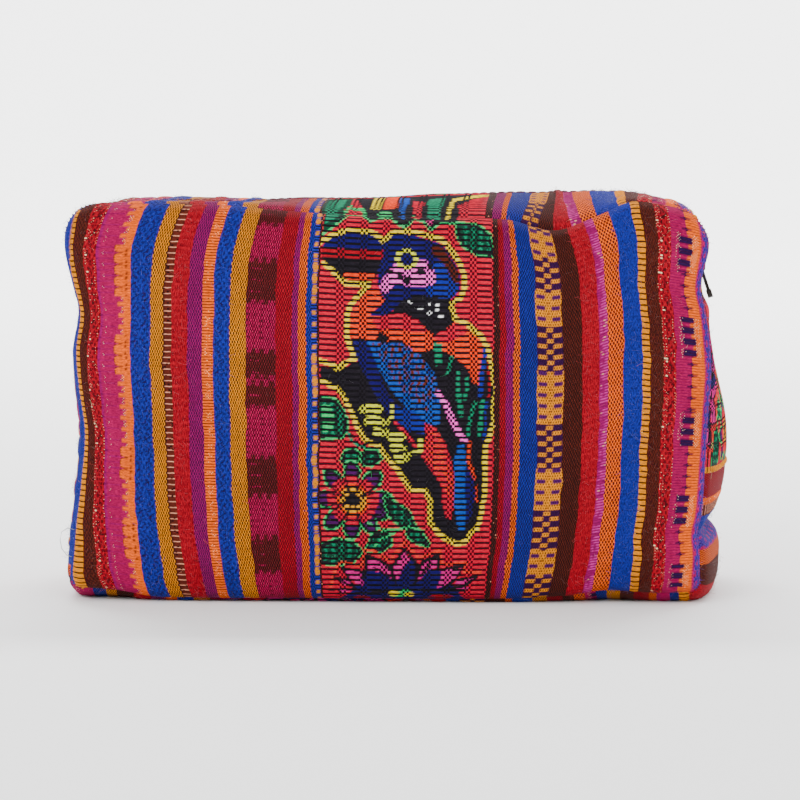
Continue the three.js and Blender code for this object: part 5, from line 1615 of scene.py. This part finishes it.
class BAG_OT_lint(bpy.types.Operator):
    """Raise loose fibres from the brushed stripes"""
    bl_idname = "bag.lint"
    bl_label = "Lint and loose fibres"

    def execute(self, context):
        random = np.random.default_rng(5)
        bm = bmesh.new()
        tint = bm.verts.layers.float_color.new("yarn")
        for name, count in LOOSE_FIBRES.items():
            mesh = bpy.data.objects[name].data
            yarn = np.zeros(len(mesh.loops) * 4, np.float32)
            mesh.attributes["yarn"].data.foreach_get("color", yarn)
            yarn = yarn.reshape(-1, 4, 4)[:, 0]
            finish = np.zeros(len(mesh.loops) * 3, np.float32)
            mesh.attributes["finish"].data.foreach_get("vector", finish)
            pile = finish.reshape(-1, 4, 3)[:, 0, 0]
            likely = np.where(pile > 0.3, pile, 0.04)
            picks = random.choice(len(pile), count, p=likely / likely.sum())
            for pick in picks:
                face = mesh.polygons[int(pick)]
                self.fibre(bm, tint, np.array(face.center), np.array(face.normal), yarn[pick][:3], random)
        self.stray_thread(bm, tint)
        piece = mesh_object("lint", bm, once(cotton_lint))
        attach(piece, "bag")
        return {"FINISHED"}

    def stray_thread(self, bm, tint):
        """The pale loop of loose thread low on the left side."""
        seam_y = -44.5
        turns = [(-121.0, 27.4), (-124.0, 28.2), (-126.4, 26.6), (-127.0, 23.4), (-126.4, 20.2),
                 (-124.6, 17.8), (-121.5, 16.6)]
        before = len(bm.verts)
        loop_of_filament(bm, [np.array((x, seam_y, z)) * MM for x, z in turns], 0.13 * MM, 4)
        bm.verts.ensure_lookup_table()
        for k in range(before, len(bm.verts)):
            bm.verts[k][tint] = (0.16, 0.17, 0.20, 1)

    def fibre(self, bm, tint, root, normal, hue, random):
        """One fibre: a bent, thin three-sided strand that starts in the cloth."""
        length = random.uniform(1.0, 3.4) * MM
        lean = unit(random.normal(size=3))
        lean = unit(lean - normal * (lean @ normal) * 0.85 + normal * 0.25)
        curl = unit(random.normal(size=3))
        shares = (0.0, 0.4, 0.75, 1.0)
        radius = random.uniform(0.022, 0.04) * MM
        sag = (curl * 0.4 + normal * 0.1) * length
        route = [root + normal * 0.25 * MM * s + lean * length * s + sag * s * (1 - s) for s in shares]
        if min(place[2] for place in route) < radius:
            return
        before = len(bm.verts)
        loop_of_filament(bm, route, radius, 3)
        bm.verts.ensure_lookup_table()
        light = random.uniform(0.8, 1.25)
        colour = (*np.minimum(hue * light + random.uniform(0, 0.02), 1), 1)
        for k in range(before, len(bm.verts)):
            bm.verts[k][tint] = colour


# The paper cove round the bag: its flat floor's radius, the bend up to its wall and the wall's top, in
# metres. Then the softboxes, each with its place, its aim, its size and its watts, and the world's strength.
COVE_FLAT = 2.4
COVE_BEND = 0.9
COVE_TOP = 1.3
STUDIO_LIGHTS = [
    ("key_softbox", (-0.8, -1.6, 1.2), (0, 0, 0.07), (1.0, 0.8), 27),
    ("fill_softbox", (1.0, -1.5, 0.8), (0, 0, 0.07), (1.0, 0.8), 9),
    ("sweep_softbox", (0, 1.5, 2.2), (0, 2.4, 0.2), (2.6, 1.2), 210),
]
WORLD_LIGHT = 1.15

# The photograph's view, its angles in degrees: from the right, from above and turned about the line of sight
VIEW = {"azimuth": 4.0, "elevation": 5.5, "roll": 0.25, "distance": 1.6, "aim": (0.0004, 0, 0.0733),
        "lens": 184.7}


class BAG_OT_studio(bpy.types.Operator):
    """Set up the round paper cove, the lights and the camera"""
    bl_idname = "bag.studio"
    bl_label = "Studio"

    def execute(self, context):
        scene = context.scene
        colours = scene.shown_colours
        bm = bmesh.new()
        bends = [math.pi / 2 * k / 10 for k in range(11)]
        bend = [(COVE_FLAT + COVE_BEND * math.sin(b), COVE_BEND * (1 - math.cos(b))) for b in bends]
        profile = [(0, 0), *bend, (COVE_FLAT + COVE_BEND, COVE_TOP)]
        verts = [bm.verts.new((r, 0, z)) for r, z in profile]
        edges = [bm.edges.new(pair) for pair in zip(verts, verts[1:])]
        bmesh.ops.spin(bm, geom=verts + edges, cent=(0, 0, 0), axis=(0, 0, 1), angle=2 * math.pi, steps=72,
                       use_merge=True)
        bmesh.ops.remove_doubles(bm, verts=bm.verts[:], dist=0.0001)
        bmesh.ops.recalc_face_normals(bm, faces=bm.faces[:])
        floor = mesh_object("floor", bm, once(paper_sweep, colours))
        floor.data.shade_smooth()
        floor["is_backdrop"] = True
        world = bpy.data.worlds.new("studio_world")
        world.use_nodes = True
        sky = world.node_tree.nodes["Background"]
        sky.inputs["Color"].default_value = (1, 1, 1, 1)
        sky.inputs["Strength"].default_value = WORLD_LIGHT
        scene.world = world
        for light in STUDIO_LIGHTS:
            self.softbox(*light)
        self.camera(scene)
        return {"FINISHED"}

    def softbox(self, name, place, aim, size, power):
        """A rectangular light that looks at its aim."""
        lamp = bpy.data.lights.new(name, "AREA")
        lamp.shape = "RECTANGLE"
        lamp.size, lamp.size_y = size
        lamp.energy = power
        holder = bpy.data.objects.new(name, lamp)
        holder.location = place
        holder.rotation_euler = (Vector(aim) - Vector(place)).to_track_quat("-Z", "Y").to_euler()
        bpy.context.scene.collection.objects.link(holder)

    def camera(self, scene):
        """The photograph's view: slightly from the right and a little above."""
        lens = bpy.data.cameras.new("camera")
        lens.lens = VIEW["lens"]
        lens.sensor_width = 36
        holder = bpy.data.objects.new("camera", lens)
        azimuth, elevation, roll = (math.radians(VIEW[a]) for a in ("azimuth", "elevation", "roll"))
        toward = Vector((math.sin(azimuth) * math.cos(elevation), -math.cos(azimuth) * math.cos(elevation),
                         math.sin(elevation)))
        right = Vector((math.cos(azimuth), math.sin(azimuth), 0))
        up = toward.cross(right)
        turned_right = right * math.cos(roll) - up * math.sin(roll)
        turned_up = up * math.cos(roll) + right * math.sin(roll)
        turn = Matrix((turned_right, turned_up, toward)).transposed()
        place = Vector(VIEW["aim"]) + toward * VIEW["distance"]
        holder.matrix_world = Matrix.Translation(place) @ turn.to_4x4()
        scene.collection.objects.link(holder)
        scene.camera = holder


class BAG_PT_panel(bpy.types.Panel):
    """Lists the steps that build the bag"""
    bl_idname = "BAG_PT_panel"
    bl_label = "Wash bag"
    bl_space_type = "VIEW_3D"
    bl_region_type = "UI"
    bl_category = "Wash bag"

    def draw(self, context):
        for step in STEPS:
            self.layout.operator(step.bl_idname)
        for group in ("bag_sizes", "weave_sizes", "zip_sizes", "shown_colours"):
            settings = getattr(context.scene, group)
            for name in settings.bl_rna.properties.keys():
                if name not in ("rna_type", "name"):
                    self.layout.prop(settings, name)


STEPS = (BAG_OT_panels, BAG_OT_gusset, BAG_OT_zip, BAG_OT_stitching, BAG_OT_lint, BAG_OT_studio)
GROUPS = (("bag_sizes", BagSizes), ("weave_sizes", WeaveSizes), ("zip_sizes", ZipSizes),
          ("shown_colours", ShownColours))


def register():
    for name, group in GROUPS:
        bpy.utils.register_class(group)
        setattr(bpy.types.Scene, name, PointerProperty(type=group))
    for made in (*STEPS, BAG_PT_panel):
        bpy.utils.register_class(made)


def unregister():
    for made in (BAG_PT_panel, *STEPS[::-1]):
        bpy.utils.unregister_class(made)
    for name, group in GROUPS[::-1]:
        delattr(bpy.types.Scene, name)
        bpy.utils.unregister_class(group)


def main():
    register()
    bpy.ops.bag.panels()
    bpy.ops.bag.gusset()
    bpy.ops.bag.zip()
    bpy.ops.bag.stitching()
    bpy.ops.bag.lint()
    bpy.ops.bag.studio()
    boxes = {"frame": frame_box, "visual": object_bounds()}
    {key: [list(corner) for corner in value] for key, value in boxes.items()}


if __name__ == "__main__":
    main()
